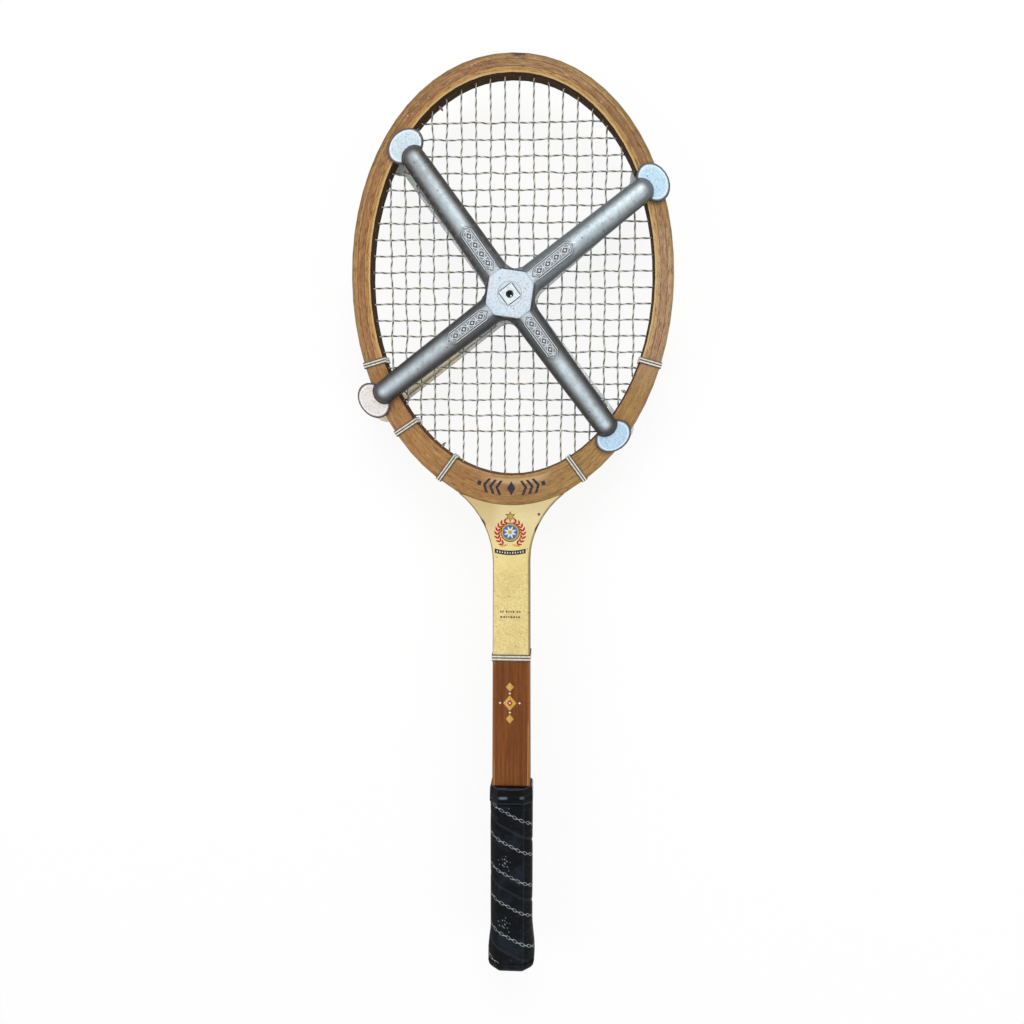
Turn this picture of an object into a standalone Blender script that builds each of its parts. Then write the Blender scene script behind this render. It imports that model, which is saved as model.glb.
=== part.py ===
# Laminated wooden tennis racket with a cast X-shaped press clamped on its head.
# It lies flat: X runs across the head, Y from the butt to the tip, Z out of the front face.
# The origin is the middle of the butt's end. Sizes are in metres.

import math

import bmesh
import bpy

MM = 0.001

# Fits
GLUE_LINE = 0.3 * MM
FINE_ROUND = 0.05 * MM

# Head, by the outside of the bow
LENGTH = 685.8 * MM
HEAD_WIDE_Y = 530 * MM
HEAD_WIDE_TO_BOTTOM = 162.5 * MM
HEAD_BOTTOM_Y = HEAD_WIDE_Y - HEAD_WIDE_TO_BOTTOM
HEAD_HALF_WIDTH = 116 * MM
HEAD_TOP_ROUNDNESS = 2.06
RIM_WIDTH = 14 * MM
RIM_WIDTH_AT_THROAT = 22 * MM
RIM_WIDENING = 2.4
HALF_DEPTH = 9.5 * MM
OUTER_PLY = 4.4 * MM
CORE_PLY = 4.6 * MM
INNER_PLY_MOST = 6 * MM
OUTER_EDGE_ROUND = 2 * MM
INNER_EDGE_ROUND = 1.6 * MM
RING_STATIONS = 56

# Throat and shaft
SHOULDER_HALF_WIDTH = 46 * MM
SHAFT_TOP_HALF_WIDTH = 13.6 * MM
SHAFT_END_HALF_WIDTH = 14.5 * MM
OVERLAY = 0.6 * MM
OVERLAY_TIP = 0.8 * MM
SEAT_HALF_DEPTH = HALF_DEPTH - OVERLAY - GLUE_LINE
SHOULDER_TIP_TURN = 0.12
STRING_CHANNEL = 3 * MM
WEDGE_BELOW_HEAD = 67.5 * MM
WEDGE_END_Y = HEAD_BOTTOM_Y - WEDGE_BELOW_HEAD
SHOULDER_STEPS = 8
BRIDGE_TAIL = 1 * MM

# Bands
BAND_LENGTH = 4.5 * MM
BAND_WALL = 0.35 * MM
BAND_ROOM = 0.4 * MM
BAND_UNDER_FOOT = ("middle", "right")
SHAFT_BAND_BELOW_HEAD = 116 * MM
SHAFT_BAND_Y = HEAD_BOTTOM_Y - SHAFT_BAND_BELOW_HEAD
SHAFT_BAND_LENGTH = 5 * MM

# Handle
CAP_HEIGHT = 9 * MM
GRIP_TOP_Y = 137 * MM
GRIP_HALF_WIDTH = 16.4 * MM
GRIP_HALF_DEPTH = 14 * MM
GRIP_FRONT_FLAT = 19.6 * MM
LEATHER = 1.6 * MM
GRIP_LEAD = 50 * MM
GRIP_SEAM_GAP = 0.6 * MM
GRIP_MIDDLE_Y = -20.6 * MM
GRIP_FIRST_WIDTH = 3 * MM
FLARE = 1.9 * MM
FLARE_FULL_Y = 14 * MM
FLARE_START_Y = 38 * MM
FLARE_HALF_DEPTH = 5.5 * MM
FLARE_THINNEST = 0.5 * MM
CAP_END_INSET = 6.8 * MM
COLLAR_Y = GRIP_TOP_Y + GLUE_LINE
COLLAR_LENGTH = 13.7 * MM
COLLAR_PROUD = 0.3 * MM
COLLAR_TOP_INSET = 0.8 * MM

# String bed
STRING_RADIUS = 0.65 * MM
STRING_LIFT = 0.85 * MM
HOLE_RADIUS = 1.15 * MM
HOLE_SIDES = 4
HOLE_OVERRUN = 3 * MM
GROOVE_DEPTH = 1.9 * MM
GROOVE_HALF_WIDTH = 2.3 * MM
GROOVE_PAST_HOLE = 2.5 * MM
MAIN_PITCH = 0.225 * SHOULDER_HALF_WIDTH
CROSS_PITCH = 0.071015 * HEAD_WIDE_TO_BOTTOM
CROSS_FIRST_Y = HEAD_BOTTOM_Y + 0.331692 * HEAD_WIDE_TO_BOTTOM
SIDE_ROOM = 12 * MM
TOP_ROOM = 30 * MM
CROSSING_ROOM = 1.2 * MM
LEVEL_ROOM = 3 * MM
LOOP_STEP = 12 * MM
KNOT_RADIUS = 1.3 * MM
KNOT_REACH = 3.2 * MM

# Press, one half, in heights above the face it stands on
PRESS_X = -0.5 * MM
PRESS_BELOW_WIDEST = 11.6 * MM
PRESS_Y = HEAD_WIDE_Y - PRESS_BELOW_WIDEST
PRESS_TURN = math.radians(36.7)
REAR_TWIST = math.radians(2)
UPPER_STRETCH = 1.04
FOOT_THICKNESS = 2.8 * MM
FOOT_FROM_SIDE = 15.94 * MM
FOOT_CENTRE = (HEAD_HALF_WIDTH - FOOT_FROM_SIDE) / math.cos(PRESS_TURN)
FOOT_HALF_LENGTH = 10.8 * MM
FOOT_HALF_WIDTH = 14.1 * MM
FOOT_POINTS = 20
ARM_BASE = 2.2 * MM
ARM_START = 14.5 * MM
ARM_INSIDE_FOOT = 2.3 * MM
ARM_END = FOOT_CENTRE - ARM_INSIDE_FOOT
ARM_HALF_WIDTH_AT_HUB = 10.6 * MM
ARM_HALF_WIDTH_AT_END = 8.3 * MM
ARM_TOP_AT_HUB = 12.2 * MM
ARM_TOP_AT_END = 10.6 * MM
ARM_WALL = 2.4 * MM
CHANNEL_START = 21 * MM
CHANNEL_BEFORE_END = 16.5 * MM
CHANNEL_END = ARM_END - CHANNEL_BEFORE_END
HUB_STEP = 0.3 * MM
HUB_TOP = 14.2 * MM
HUB_HALF = 17.5 * MM
HUB_CORNER_SUM = 22.5 * MM
HUB_FLARE = 2.5 * MM
HUB_WEB_TOP = 9 * MM
HUB_FILLET = 7 * MM
PAD_START = 18.5 * MM
PAD_END = 56 * MM
PAD_POINT = 5 * MM
PAD_TIP = 0.6 * MM
PAD_HALF_WIDTH = 4.7 * MM
PAD_PROUD = 0.4 * MM
NUT_SIDE = 11 * MM
NUT_THICKNESS = 8 * MM
SCREW_RADIUS = 2.5 * MM
SCREW_CLEARANCE = 0.4 * MM
SCREW_END_SUNK = 2.4 * MM
WASHER_RADIUS = 7.5 * MM
WASHER_THICKNESS = 1.2 * MM
BOSS_RADIUS = 6.4 * MM
BOSS_LENGTH = 8 * MM
WING_SPAN = 18.5 * MM
WING_DROP = 13.5 * MM
WING_HALF_THICKNESS = 1.5 * MM
TURNED_SIDES = 16

UP = (0.0, 0.0, 1.0)


def clear_scene():
    for thing in list(bpy.data.objects):
        bpy.data.objects.remove(thing, do_unlink=True)


# Outline of the head, and of the bow that runs on from it into the shaft


def signed_power(value, power):
    return math.copysign(abs(value) ** power, value)


def rim(angle, depth=0.0):
    """Point at an angle round the head, at a depth into the rim from its outside, and the way in."""
    across, along = math.cos(angle), math.sin(angle)
    power = HEAD_TOP_ROUNDNESS if along > 0 else 2.0
    height = LENGTH - HEAD_WIDE_Y if along > 0 else HEAD_WIDE_Y - HEAD_BOTTOM_Y
    u = signed_power(across, 2 / power)
    v = signed_power(along, 2 / power)
    in_x = -signed_power(u, power - 1) / HEAD_HALF_WIDTH
    in_y = -signed_power(v, power - 1) / height
    size = math.hypot(in_x, in_y)
    in_x, in_y = in_x / size, in_y / size
    x = HEAD_HALF_WIDTH * u + in_x * depth
    y = HEAD_WIDE_Y + height * v + in_y * depth
    return x, y, in_x, in_y


def rim_width(angle):
    low = max(0.0, -math.sin(angle))
    return RIM_WIDTH + (RIM_WIDTH_AT_THROAT - RIM_WIDTH) * low**RIM_WIDENING


def inner_wall(angle):
    return rim(angle, rim_width(angle))


def turn_line(angle):
    """Where a string bends from its run across the head into its hole, just clear of the wall."""
    return rim(angle, rim_width(angle) + 1.5 * STRING_RADIUS)


def solve(function, low, high):
    """Where the function changes sign between low and high."""
    for _ in range(48):
        middle = (low + high) / 2
        if (function(low) < 0) == (function(middle) < 0):
            low = middle
        else:
            high = middle
    return low


LEAVE_ANGLE = -math.acos(SHOULDER_HALF_WIDTH / HEAD_HALF_WIDTH)


def shoulder_arc():
    """Centre and radius of the right shoulder, which is tangent to the head and to the shaft."""
    x, y, in_x, in_y = rim(LEAVE_ANGLE)
    run = (x - SHAFT_TOP_HALF_WIDTH) / in_y
    turn = math.acos(-in_x)
    radius = run / math.tan(turn / 2)
    return x - in_x * radius, y - in_y * radius, radius, math.atan2(in_y, in_x)


SHOULDER_X, SHOULDER_Y, SHOULDER_RADIUS, SHOULDER_START = shoulder_arc()


def shoulder(angle, depth=0.0):
    """Point on the right shoulder; the angle goes from SHOULDER_START to pi at the shaft."""
    across, along = math.cos(angle), math.sin(angle)
    reach = SHOULDER_RADIUS + depth
    return SHOULDER_X + reach * across, SHOULDER_Y + reach * along, across, along


def shaft_half_width(y):
    share = (SHOULDER_Y - y) / (SHOULDER_Y - GRIP_TOP_Y)
    share = min(1.0, max(0.0, share))
    return SHAFT_TOP_HALF_WIDTH + (SHAFT_END_HALF_WIDTH - SHAFT_TOP_HALF_WIDTH) * share


def spread(start, end, steps):
    return [start + (end - start) * i / steps for i in range(steps + 1)]


def mirrored(points):
    return [(-x, y, -in_x, in_y) for x, y, in_x, in_y in reversed(points)]


def bow_line(depth=0.0, first_angle=math.pi, leg=True):
    """The bow from the right butt, round the head, to the left butt, at a depth from its outside."""
    right = []
    if leg:
        for y in (CAP_HEIGHT + GLUE_LINE, GRIP_TOP_Y, SHOULDER_Y):
            right.append((shaft_half_width(y) - depth, y, -1.0, 0.0))
    angles = spread(first_angle, SHOULDER_START, SHOULDER_STEPS)
    right += [shoulder(angle, depth) for angle in angles[1 if leg else 0 : -1]]
    around = spread(LEAVE_ANGLE, math.pi - LEAVE_ANGLE, RING_STATIONS)
    return right + [rim(angle, depth) for angle in around] + mirrored(right)


# Mesh helpers


def finish(name, colour, roughness, metallic=0.0):
    material = bpy.data.materials.new(name)
    material.use_nodes = True
    shader = material.node_tree.nodes["Principled BSDF"]
    shader.inputs["Base Color"].default_value = (*colour, 1.0)
    shader.inputs["Roughness"].default_value = roughness
    shader.inputs["Metallic"].default_value = metallic
    return material


def solid_object(name, mesh, look=None, smooth_angle=35):
    bmesh.ops.recalc_face_normals(mesh, faces=mesh.faces)
    if mesh.calc_volume(signed=True) < 0:
        bmesh.ops.reverse_faces(mesh, faces=mesh.faces)
    data = bpy.data.meshes.new(name)
    mesh.to_mesh(data)
    mesh.free()
    made = bpy.data.objects.new(name, data)
    bpy.context.scene.collection.objects.link(made)
    if look:
        data.materials.append(finish(name, *look))
    data.shade_smooth()
    data.set_sharp_from_angle(angle=math.radians(smooth_angle))
    return made


def add_rings(mesh, rings, closed=False):
    """Bridges rings of points with faces; an open run gets a cap on each end."""
    rows = [[mesh.verts.new(point) for point in ring] for ring in rings]
    count = len(rows[0])
    pairs = list(zip(rows, rows[1:]))
    if closed:
        pairs.append((rows[-1], rows[0]))
    else:
        mesh.faces.new(rows[0])
        mesh.faces.new(rows[-1])
    for low, high in pairs:
        for i in range(count):
            j = (i + 1) % count
            mesh.faces.new((low[i], low[j], high[j], high[i]))


def swept(name, rings, look=None, closed=False, smooth_angle=35):
    mesh = bmesh.new()
    add_rings(mesh, rings, closed)
    return solid_object(name, mesh, look, smooth_angle)


def plate(name, outline, low, high, look=None):
    """A flat piece with this outline in X and Y, between two heights."""
    rings = [[(x, y, z) for x, y in outline] for z in (low, high)]
    return swept(name, rings, look)


def as_cutter(made):
    made.hide_render = True
    made.display_type = "WIRE"
    return made


def combine(target, other, operation="DIFFERENCE"):
    modifier = target.modifiers.new(other.name, "BOOLEAN")
    modifier.operation = operation
    modifier.object = other
    modifier.solver = "EXACT"


def section(near, far, half, near_round=0.0, far_round=0.0):
    """Cross-section of a ply: depth into the rim and height, round its four corners."""
    points = []
    corners = (
        (near, 1, half, -1, near_round, 180),
        (far, -1, half, -1, far_round, 90),
        (far, -1, -half, 1, far_round, 0),
        (near, 1, -half, 1, near_round, -90),
    )
    for depth, inward, height, upward, radius, start in corners:
        if radius < FINE_ROUND:
            points.append((depth, height))
            continue
        centre = (depth + inward * radius, height + upward * radius)
        for degrees in (start, start - 45, start - 90):
            turn = math.radians(degrees)
            points.append((centre[0] + radius * math.cos(turn), centre[1] + radius * math.sin(turn)))
    return points


def along_bow(name, profile, look=None, first_angle=math.pi, leg=True):
    """Sweeps a cross-section along the bow."""
    lines = [bow_line(depth, first_angle, leg) for depth, _ in profile]
    heights = [height for _, height in profile]
    stations = len(lines[0])
    rings = [[(*line[i][:2], z) for line, z in zip(lines, heights)] for i in range(stations)]
    return swept(name, rings, look)


# Frame of the racket


def overlay_tip():
    """Angle at which the fibre overlay on the throat runs out in a thin tip."""
    right = solve(lambda x: edge_gap(x) - OVERLAY_TIP, SHOULDER_HALF_WIDTH, SHAFT_TOP_HALF_WIDTH)
    return -math.acos(right / HEAD_HALF_WIDTH)


def overlay_edge(steps=16):
    """Lower edge of the brown throat arc, from its right tip to its left one."""
    tip = overlay_tip()
    return [rim(angle)[:2] for angle in spread(tip, -math.pi - tip, steps)]


def edge_gap(x):
    """Height of the throat below the arc's edge and above the shoulder's outside."""
    arc = rim(-math.acos(x / HEAD_HALF_WIDTH))[1]
    outside = SHOULDER_Y + math.sqrt(SHOULDER_RADIUS**2 - (SHOULDER_X - x) ** 2)
    return arc - GLUE_LINE - outside


def make_overlay_seats():
    """Cutters that let the shoulders and legs down by the thickness of what is glued on them."""
    start, tip = high_band_angle(), overlay_tip()
    side = rim(tip)[0]
    outer = [rim(angle, -HOLE_OVERRUN)[:2] for angle in spread(start, tip, 12)]
    around = spread(-math.pi - start, start, RING_STATIONS // 2)
    inner = [rim(angle, rim_width(angle) + HOLE_OVERRUN)[:2] for angle in around]
    outline = outer + [(side, -CAP_HEIGHT), (-side, -CAP_HEIGHT)]
    outline += [(-x, y) for x, y in reversed(outer)] + inner
    top = HALF_DEPTH + HOLE_OVERRUN
    front = plate("overlay_seat_front_cutter", outline, SEAT_HALF_DEPTH, top)
    back = plate("overlay_seat_back_cutter", outline, -top, -SEAT_HALF_DEPTH)
    return [as_cutter(front), as_cutter(back)]


def veneer_section(angle, tip):
    """Cross-section of a shoulder veneer, sloped where the rim's edges are rounded."""
    width = rim_width(angle)
    from_tip = abs(angle + math.pi / 2) - abs(tip + math.pi / 2)
    share = min(1.0, max(0.0, from_tip / SHOULDER_TIP_TURN))
    low, high = HALF_DEPTH - OVERLAY, HALF_DEPTH
    return [
        (share * edge_inset(OUTER_EDGE_ROUND, low), low),
        (share * OUTER_EDGE_ROUND, high),
        (width - INNER_EDGE_ROUND, high),
        (width - edge_inset(INNER_EDGE_ROUND, low), low),
    ]


def edge_inset(radius, height):
    """How far in from its side a rounded edge of the rim is at a height."""
    above = height - (HALF_DEPTH - radius)
    return radius - math.sqrt(radius**2 - above**2)


def make_shoulder_veneers():
    """Wood sheets over the plies of the shoulders, from one high band round the throat to the other."""
    tip = overlay_tip()
    start = high_band_angle() - GLUE_LINE / HEAD_HALF_WIDTH
    for name, facing in (("front", 1), ("back", -1)):
        rings = []
        for angle in spread(start, -math.pi - start, RING_STATIONS):
            profile = veneer_section(angle, tip)
            rings.append([(*rim(angle, depth)[:2], facing * z) for depth, z in profile])
        swept(f"shoulder_veneer_{name}", rings, ((0.38, 0.2, 0.07), 0.42))


def make_handle_bevels():
    """Cutter that takes the long corners off the bow's legs, inside the octagonal handle."""
    mesh = bmesh.new()
    limit = leg_corner_sum()
    far = GRIP_HALF_WIDTH + GRIP_HALF_DEPTH
    low = 0.1 * limit
    for side_x in (-1, 1):
        for side_z in (-1, 1):
            shape = ((limit - low, low), (far, low), (far, far), (low, far), (low, limit - low))
            ends = (-CAP_HEIGHT, COLLAR_Y + COLLAR_LENGTH + GLUE_LINE)
            add_rings(mesh, [[(side_x * x, y, side_z * z) for x, z in shape] for y in ends])
    return as_cutter(solid_object("handle_bevel_cutter", mesh))


def make_bow(holes, seats, groove):
    outer_profile = section(0.0, OUTER_PLY, HALF_DEPTH, near_round=OUTER_EDGE_ROUND)
    outer = along_bow("bow_outer_ply", outer_profile, ((0.42, 0.22, 0.08), 0.42))
    near = OUTER_PLY + GLUE_LINE
    core_profile = section(near, near + CORE_PLY, HALF_DEPTH)
    core = along_bow("bow_core_ply", core_profile, ((0.36, 0.17, 0.08), 0.45))
    combine(outer, make_handle_bevels())
    for ply in (outer, core):
        for cutter in seats:
            combine(ply, cutter)
        combine(ply, holes)
    combine(outer, groove)


def core_depth():
    """Depth from the outside of the bow to the seat of whatever is glued inside it."""
    return OUTER_PLY + CORE_PLY + 2 * GLUE_LINE


def make_head_inner_ply(holes, seats):
    rings = []
    for angle in spread(0, 2 * math.pi, RING_STATIONS + 8)[:-1]:
        width = rim_width(angle)
        near = max(core_depth(), width - INNER_PLY_MOST)
        profile = section(near, width, HALF_DEPTH, far_round=INNER_EDGE_ROUND)
        rings.append([(*rim(angle, depth)[:2], z) for depth, z in profile])
    ply = swept("head_inner_ply", rings, ((0.52, 0.3, 0.12), 0.42), closed=True)
    for cutter in seats:
        combine(ply, cutter)
    combine(ply, holes)


def shoulder_meets_edge():
    """Angle on the right shoulder's inner side where it meets the lower edge of the throat arc."""

    def height(angle):
        x, y = shoulder(angle, core_depth())[:2]
        return y - rim(-math.acos(x / HEAD_HALF_WIDTH))[1]

    return solve(height, SHOULDER_START, math.pi)


def full_width(half):
    """An outline from its right tip to the middle, carried on to its left tip."""
    return half + [(-x, y) for x, y in reversed(half[:-1])]


def make_throat_bridge(holes):
    """The brown arc below the strings: between the inner ply, the bow and the throat wedge."""
    top = INNER_PLY_MOST + GLUE_LINE
    least = core_depth() + top + BRIDGE_TAIL
    tail = solve(lambda angle: rim_width(angle) - least, -math.pi / 2, 0)
    upper = [rim(angle, rim_width(angle) - top)[:2] for angle in spread(tail, -math.pi / 2, 12)]
    lower = [rim(angle, core_depth())[:2] for angle in spread(tail, LEAVE_ANGLE, 6)]
    meet = shoulder_meets_edge()
    lower += [shoulder(angle, core_depth())[:2] for angle in spread(SHOULDER_START, meet, 5)[1:]]
    last = -math.acos(lower[-1][0] / HEAD_HALF_WIDTH)
    lower += [rim(angle)[:2] for angle in spread(last, -math.pi / 2, 4)[1:]]
    outline = full_width(upper) + full_width(lower)[::-1]
    look = ((0.4, 0.21, 0.08), 0.45)
    made = plate("throat_bridge", outline, -SEAT_HALF_DEPTH, SEAT_HALF_DEPTH, look)
    combine(made, holes)


def make_throat_wedge():
    """Fills the fork between the legs, below the channel in which the middle strings turn."""

    def height(angle):
        x, y = shoulder(angle, core_depth())[:2]
        return y - rim(-math.acos(x / HEAD_HALF_WIDTH), -STRING_CHANNEL)[1]

    meet = solve(height, SHOULDER_START, math.pi)
    side = [shoulder(angle, core_depth())[:2] for angle in spread(math.pi, meet, 7)]
    last = -math.acos(side[-1][0] / HEAD_HALF_WIDTH)
    top = [rim(angle, -STRING_CHANNEL)[:2] for angle in spread(last, -math.pi / 2, 4)[1:]]
    foot = (shaft_half_width(WEDGE_END_Y) - core_depth(), WEDGE_END_Y)
    half = [foot] + side + top
    look = ((0.3, 0.15, 0.07), 0.5)
    plate("throat_wedge", full_width(half), -SEAT_HALF_DEPTH, SEAT_HALF_DEPTH, look)


def shaft_slab(name, low_y, high_y, inset, low_z, high_z, look):
    """A straight piece of the shaft, as wide as the shaft less an inset on each side."""
    outline = []
    for y, side in ((low_y, -1), (low_y, 1), (high_y, 1), (high_y, -1)):
        outline.append((side * (shaft_half_width(y) - inset), y))
    plate(name, outline, low_z, high_z, look)


def make_overlays():
    """Fibre overlays and mahogany veneers, one of each on the front and on the back."""
    edge = [(x, y - GLUE_LINE) for x, y in overlay_edge()]
    start = solve(lambda angle: shoulder(angle)[0] - edge[0][0], SHOULDER_START, math.pi)
    side = [shoulder(angle)[:2] for angle in spread(start, math.pi, SHOULDER_STEPS)]
    overlay_end = SHAFT_BAND_Y + GLUE_LINE / 2
    side.append((shaft_half_width(overlay_end), overlay_end))
    cream = [(-x, y) for x, y in side[::-1]] + edge[::-1][1:-1] + side
    veneer_start = COLLAR_Y + COLLAR_LENGTH + GLUE_LINE
    for name, facing in (("front", 1), ("back", -1)):
        low, high = sorted((facing * (HALF_DEPTH - OVERLAY), facing * HALF_DEPTH))
        plate(f"throat_overlay_{name}", cream, low, high, ((0.8, 0.68, 0.34), 0.4))
        ends = (veneer_start, SHAFT_BAND_Y - GLUE_LINE / 2)
        shaft_slab(f"shaft_veneer_{name}", *ends, 0.0, low, high, ((0.2, 0.06, 0.03), 0.35))


# Bands round the rim and the shaft


def band(name, centre, inward, reach, half_depth, length):
    """A thin rectangular sleeve; reach is its depth at each side, measured along the way in."""
    along = (-inward[1], inward[0])
    rings = []
    for shift, grow in ((-1, 0), (-1, 1), (1, 1), (1, 0)):
        ring = []
        for depth_side, height_side in ((0, 1), (1, 1), (1, -1), (0, -1)):
            outward = -1 if depth_side == 0 else 1
            depth = reach[depth_side] + outward * (GLUE_LINE + grow * BAND_WALL)
            step = shift * length / 2
            x = centre[0] + inward[0] * depth + along[0] * step
            y = centre[1] + inward[1] * depth + along[1] * step
            z = height_side * (half_depth + GLUE_LINE + grow * BAND_WALL)
            ring.append((x, y, z))
        rings.append(ring)
    swept(name, rings, ((0.8, 0.76, 0.66), 0.35), closed=True)


def high_band_angle():
    """Angle of the highest bands, midway between two string holes."""
    rows = cross_rows()
    return (wall_angle_at_y(rows[4]) + wall_angle_at_y(rows[5])) / 2


def make_bands():
    """Bands on each shoulder, each midway between two string holes, and one on the shaft."""
    columns, rows = main_columns(), cross_rows()
    places = {
        "high": high_band_angle(),
        "middle": (wall_angle_at_x(columns[6], -1) + wall_angle_at_y(rows[1])) / 2,
        "low": (wall_angle_at_x(columns[3], -1) + wall_angle_at_x(columns[4], -1)) / 2,
    }
    for name, angle in places.items():
        x, y, in_x, in_y = rim(angle)
        reach = (0.0, rim_width(angle) + BAND_ROOM)
        for side_name, side in (("right", 1), ("left", -1)):
            if (name, side_name) == BAND_UNDER_FOOT:
                continue
            centre, inward = (side * x, y), (side * in_x, in_y)
            band(f"rim_band_{name}_{side_name}", centre, inward, reach, HALF_DEPTH, BAND_LENGTH)
    half = shaft_half_width(SHAFT_BAND_Y - SHAFT_BAND_LENGTH / 2)
    band("shaft_band", (0, SHAFT_BAND_Y), (1, 0), (-half, half), HALF_DEPTH, SHAFT_BAND_LENGTH)


# Handle


def flare(y):
    share = (FLARE_START_Y - y) / (FLARE_START_Y - FLARE_FULL_Y)
    share = min(1.0, max(0.0, share))
    return FLARE * share * share * (3 - 2 * share)


def grip_octagon(y, inset=0.0):
    """Half-width, half-depth and corner sum of the handle's octagon, a wall's thickness inside it."""
    grow = flare(y) - inset
    corner_sum = GRIP_FRONT_FLAT / 2 + GRIP_HALF_DEPTH + math.sqrt(2) * grow
    return GRIP_HALF_WIDTH + grow, GRIP_HALF_DEPTH + grow, corner_sum


def octagon_point(angle, y, inset=0.0):
    half_width, half_depth, corner_sum = grip_octagon(y, inset)
    across, up = abs(math.cos(angle)), abs(math.sin(angle))
    reach = corner_sum / (across + up)
    if across * reach > half_width:
        reach = half_width / across
    if up * reach > half_depth:
        reach = half_depth / up
    return reach * math.cos(angle), y, reach * math.sin(angle)


def octagon_corners():
    """Angles of the octagon's eight corners, seen along the handle."""
    half_width, half_depth, corner_sum = grip_octagon(GRIP_TOP_Y)
    side = math.atan2(corner_sum - half_width, half_width)
    face = math.atan2(half_depth, corner_sum - half_depth)
    quarter = [side, face]
    half = quarter + [math.pi - angle for angle in reversed(quarter)]
    return half + [angle + math.pi for angle in half]


def make_grip_strip():
    """The leather strip, wound up the handle; its ends are cut square to the handle."""
    low_end = CAP_HEIGHT + GLUE_LINE
    half = (GRIP_LEAD - GRIP_SEAM_GAP) / 2
    first_middle = low_end + GRIP_FIRST_WIDTH - half
    last_middle = GRIP_TOP_Y - GRIP_FIRST_WIDTH + half
    start = (first_middle - GRIP_MIDDLE_Y) / GRIP_LEAD * 2 * math.pi
    end = (last_middle - GRIP_MIDDLE_Y) / GRIP_LEAD * 2 * math.pi
    corner_round = math.radians(2.5)
    angles = [start, end]
    for turn in range(int(start // (2 * math.pi)) - 1, int(end // (2 * math.pi)) + 2):
        for corner in octagon_corners():
            angles += [turn * 2 * math.pi + corner + side * corner_round for side in (-1, 1)]
    angles = sorted(angle for angle in angles if start <= angle <= end)
    rings = []
    for angle in angles:
        middle = GRIP_MIDDLE_Y + GRIP_LEAD * angle / (2 * math.pi)
        low = max(middle - half, low_end)
        high = min(middle + half, GRIP_TOP_Y)
        heights = spread(low, high, 4)
        outside = [octagon_point(angle, y) for y in heights]
        inside = [octagon_point(angle, y, LEATHER) for y in reversed(heights)]
        rings.append(outside + inside)
    swept("grip_strip", rings, ((0.03, 0.03, 0.035), 0.6), smooth_angle=25)
    slope = math.atan2(GRIP_LEAD, 2 * (2 * GRIP_HALF_WIDTH + 2 * GRIP_HALF_DEPTH))
    print(f"grip strip: least gap between turns {GRIP_SEAM_GAP * math.cos(slope) / MM:.2f} mm")


def make_handle_core():
    """Pallets on the faces of the shaft and flare pieces on its sides, under the leather."""
    low_end = CAP_HEIGHT + GLUE_LINE
    seat = HALF_DEPTH - OVERLAY
    under = LEATHER + GLUE_LINE
    levels = [low_end] + spread(FLARE_FULL_Y, FLARE_START_Y, 3) + [GRIP_TOP_Y]
    for name, facing in (("front", 1), ("back", -1)):
        rings = []
        for y in levels:
            _, top, _ = grip_octagon(y, under)
            corner_sum = grip_octagon(GRIP_TOP_Y, under)[2]
            shape = ((corner_sum - seat, seat), (corner_sum - top, top))
            shape += ((top - corner_sum, top), (seat - corner_sum, seat))
            rings.append([(x, y, facing * z) for x, z in shape])
        swept(f"handle_pallet_{name}", rings, ((0.55, 0.38, 0.2), 0.6))
    side_seat = SHAFT_END_HALF_WIDTH + GLUE_LINE

    def thickness(y):
        return grip_octagon(y, under)[0] - side_seat

    end_y = solve(lambda y: thickness(y) - FLARE_THINNEST, FLARE_FULL_Y, FLARE_START_Y)
    for name, side in (("right", 1), ("left", -1)):
        rings = []
        for y in [low_end] + spread(FLARE_FULL_Y, end_y, 2):
            near, far = side * side_seat, side * (side_seat + thickness(y))
            deep = FLARE_HALF_DEPTH
            rings.append([(near, y, deep), (far, y, deep), (far, y, -deep), (near, y, -deep)])
        swept(f"butt_flare_{name}", rings, ((0.55, 0.38, 0.2), 0.6))


def make_butt_cap():
    corners = octagon_corners()
    rings = []
    for share, inset in ((1.0, 0.0), (0.5, 0.13), (0.18, 0.45), (0.0, 1.0)):
        y = CAP_HEIGHT * share
        ring = [octagon_point(angle, CAP_HEIGHT, CAP_END_INSET * inset) for angle in corners]
        rings.append([(x, y, z) for x, _, z in ring])
    swept("butt_cap", rings, ((0.02, 0.02, 0.022), 0.5))


def leg_corner_sum():
    """Corner sum of the bow's legs where they run inside the handle."""
    return grip_octagon(GRIP_TOP_Y, LEATHER + 2 * GLUE_LINE)[2]


def make_collar():
    """Glossy sleeve above the leather, round the lower end of the shaft."""
    half_width = SHAFT_END_HALF_WIDTH + GLUE_LINE
    half_depth = HALF_DEPTH - OVERLAY
    corner_sum = leg_corner_sum() + math.sqrt(2) * GLUE_LINE
    corner = math.atan2(half_depth, corner_sum - half_depth)
    quarter = sorted(octagon_corners()[:2] + [corner])
    half = [0.0, *quarter, math.pi / 2] + [math.pi - angle for angle in reversed(quarter)]
    levels = ((0.0, 0.0), (0.08, -COLLAR_PROUD), (0.86, 0.0), (1.0, COLLAR_TOP_INSET))
    columns = []
    for angle in half + [angle + math.pi for angle in half]:
        column = []
        for share, inset in levels:
            x, _, z = octagon_point(angle, GRIP_TOP_Y, inset)
            column.append((x, COLLAR_Y + share * COLLAR_LENGTH, z))
        across, up = abs(math.cos(angle)), abs(math.sin(angle))
        reach = corner_sum / (across + up)
        if across * reach > half_width:
            reach = half_width / across
        if up * reach > half_depth:
            reach = half_depth / up
        for share in (1.0, 0.0):
            y = COLLAR_Y + share * COLLAR_LENGTH
            column.append((reach * math.cos(angle), y, reach * math.sin(angle)))
        columns.append(column)
    swept("grip_collar", columns, ((0.01, 0.012, 0.02), 0.12), closed=True)


# String bed


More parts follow.
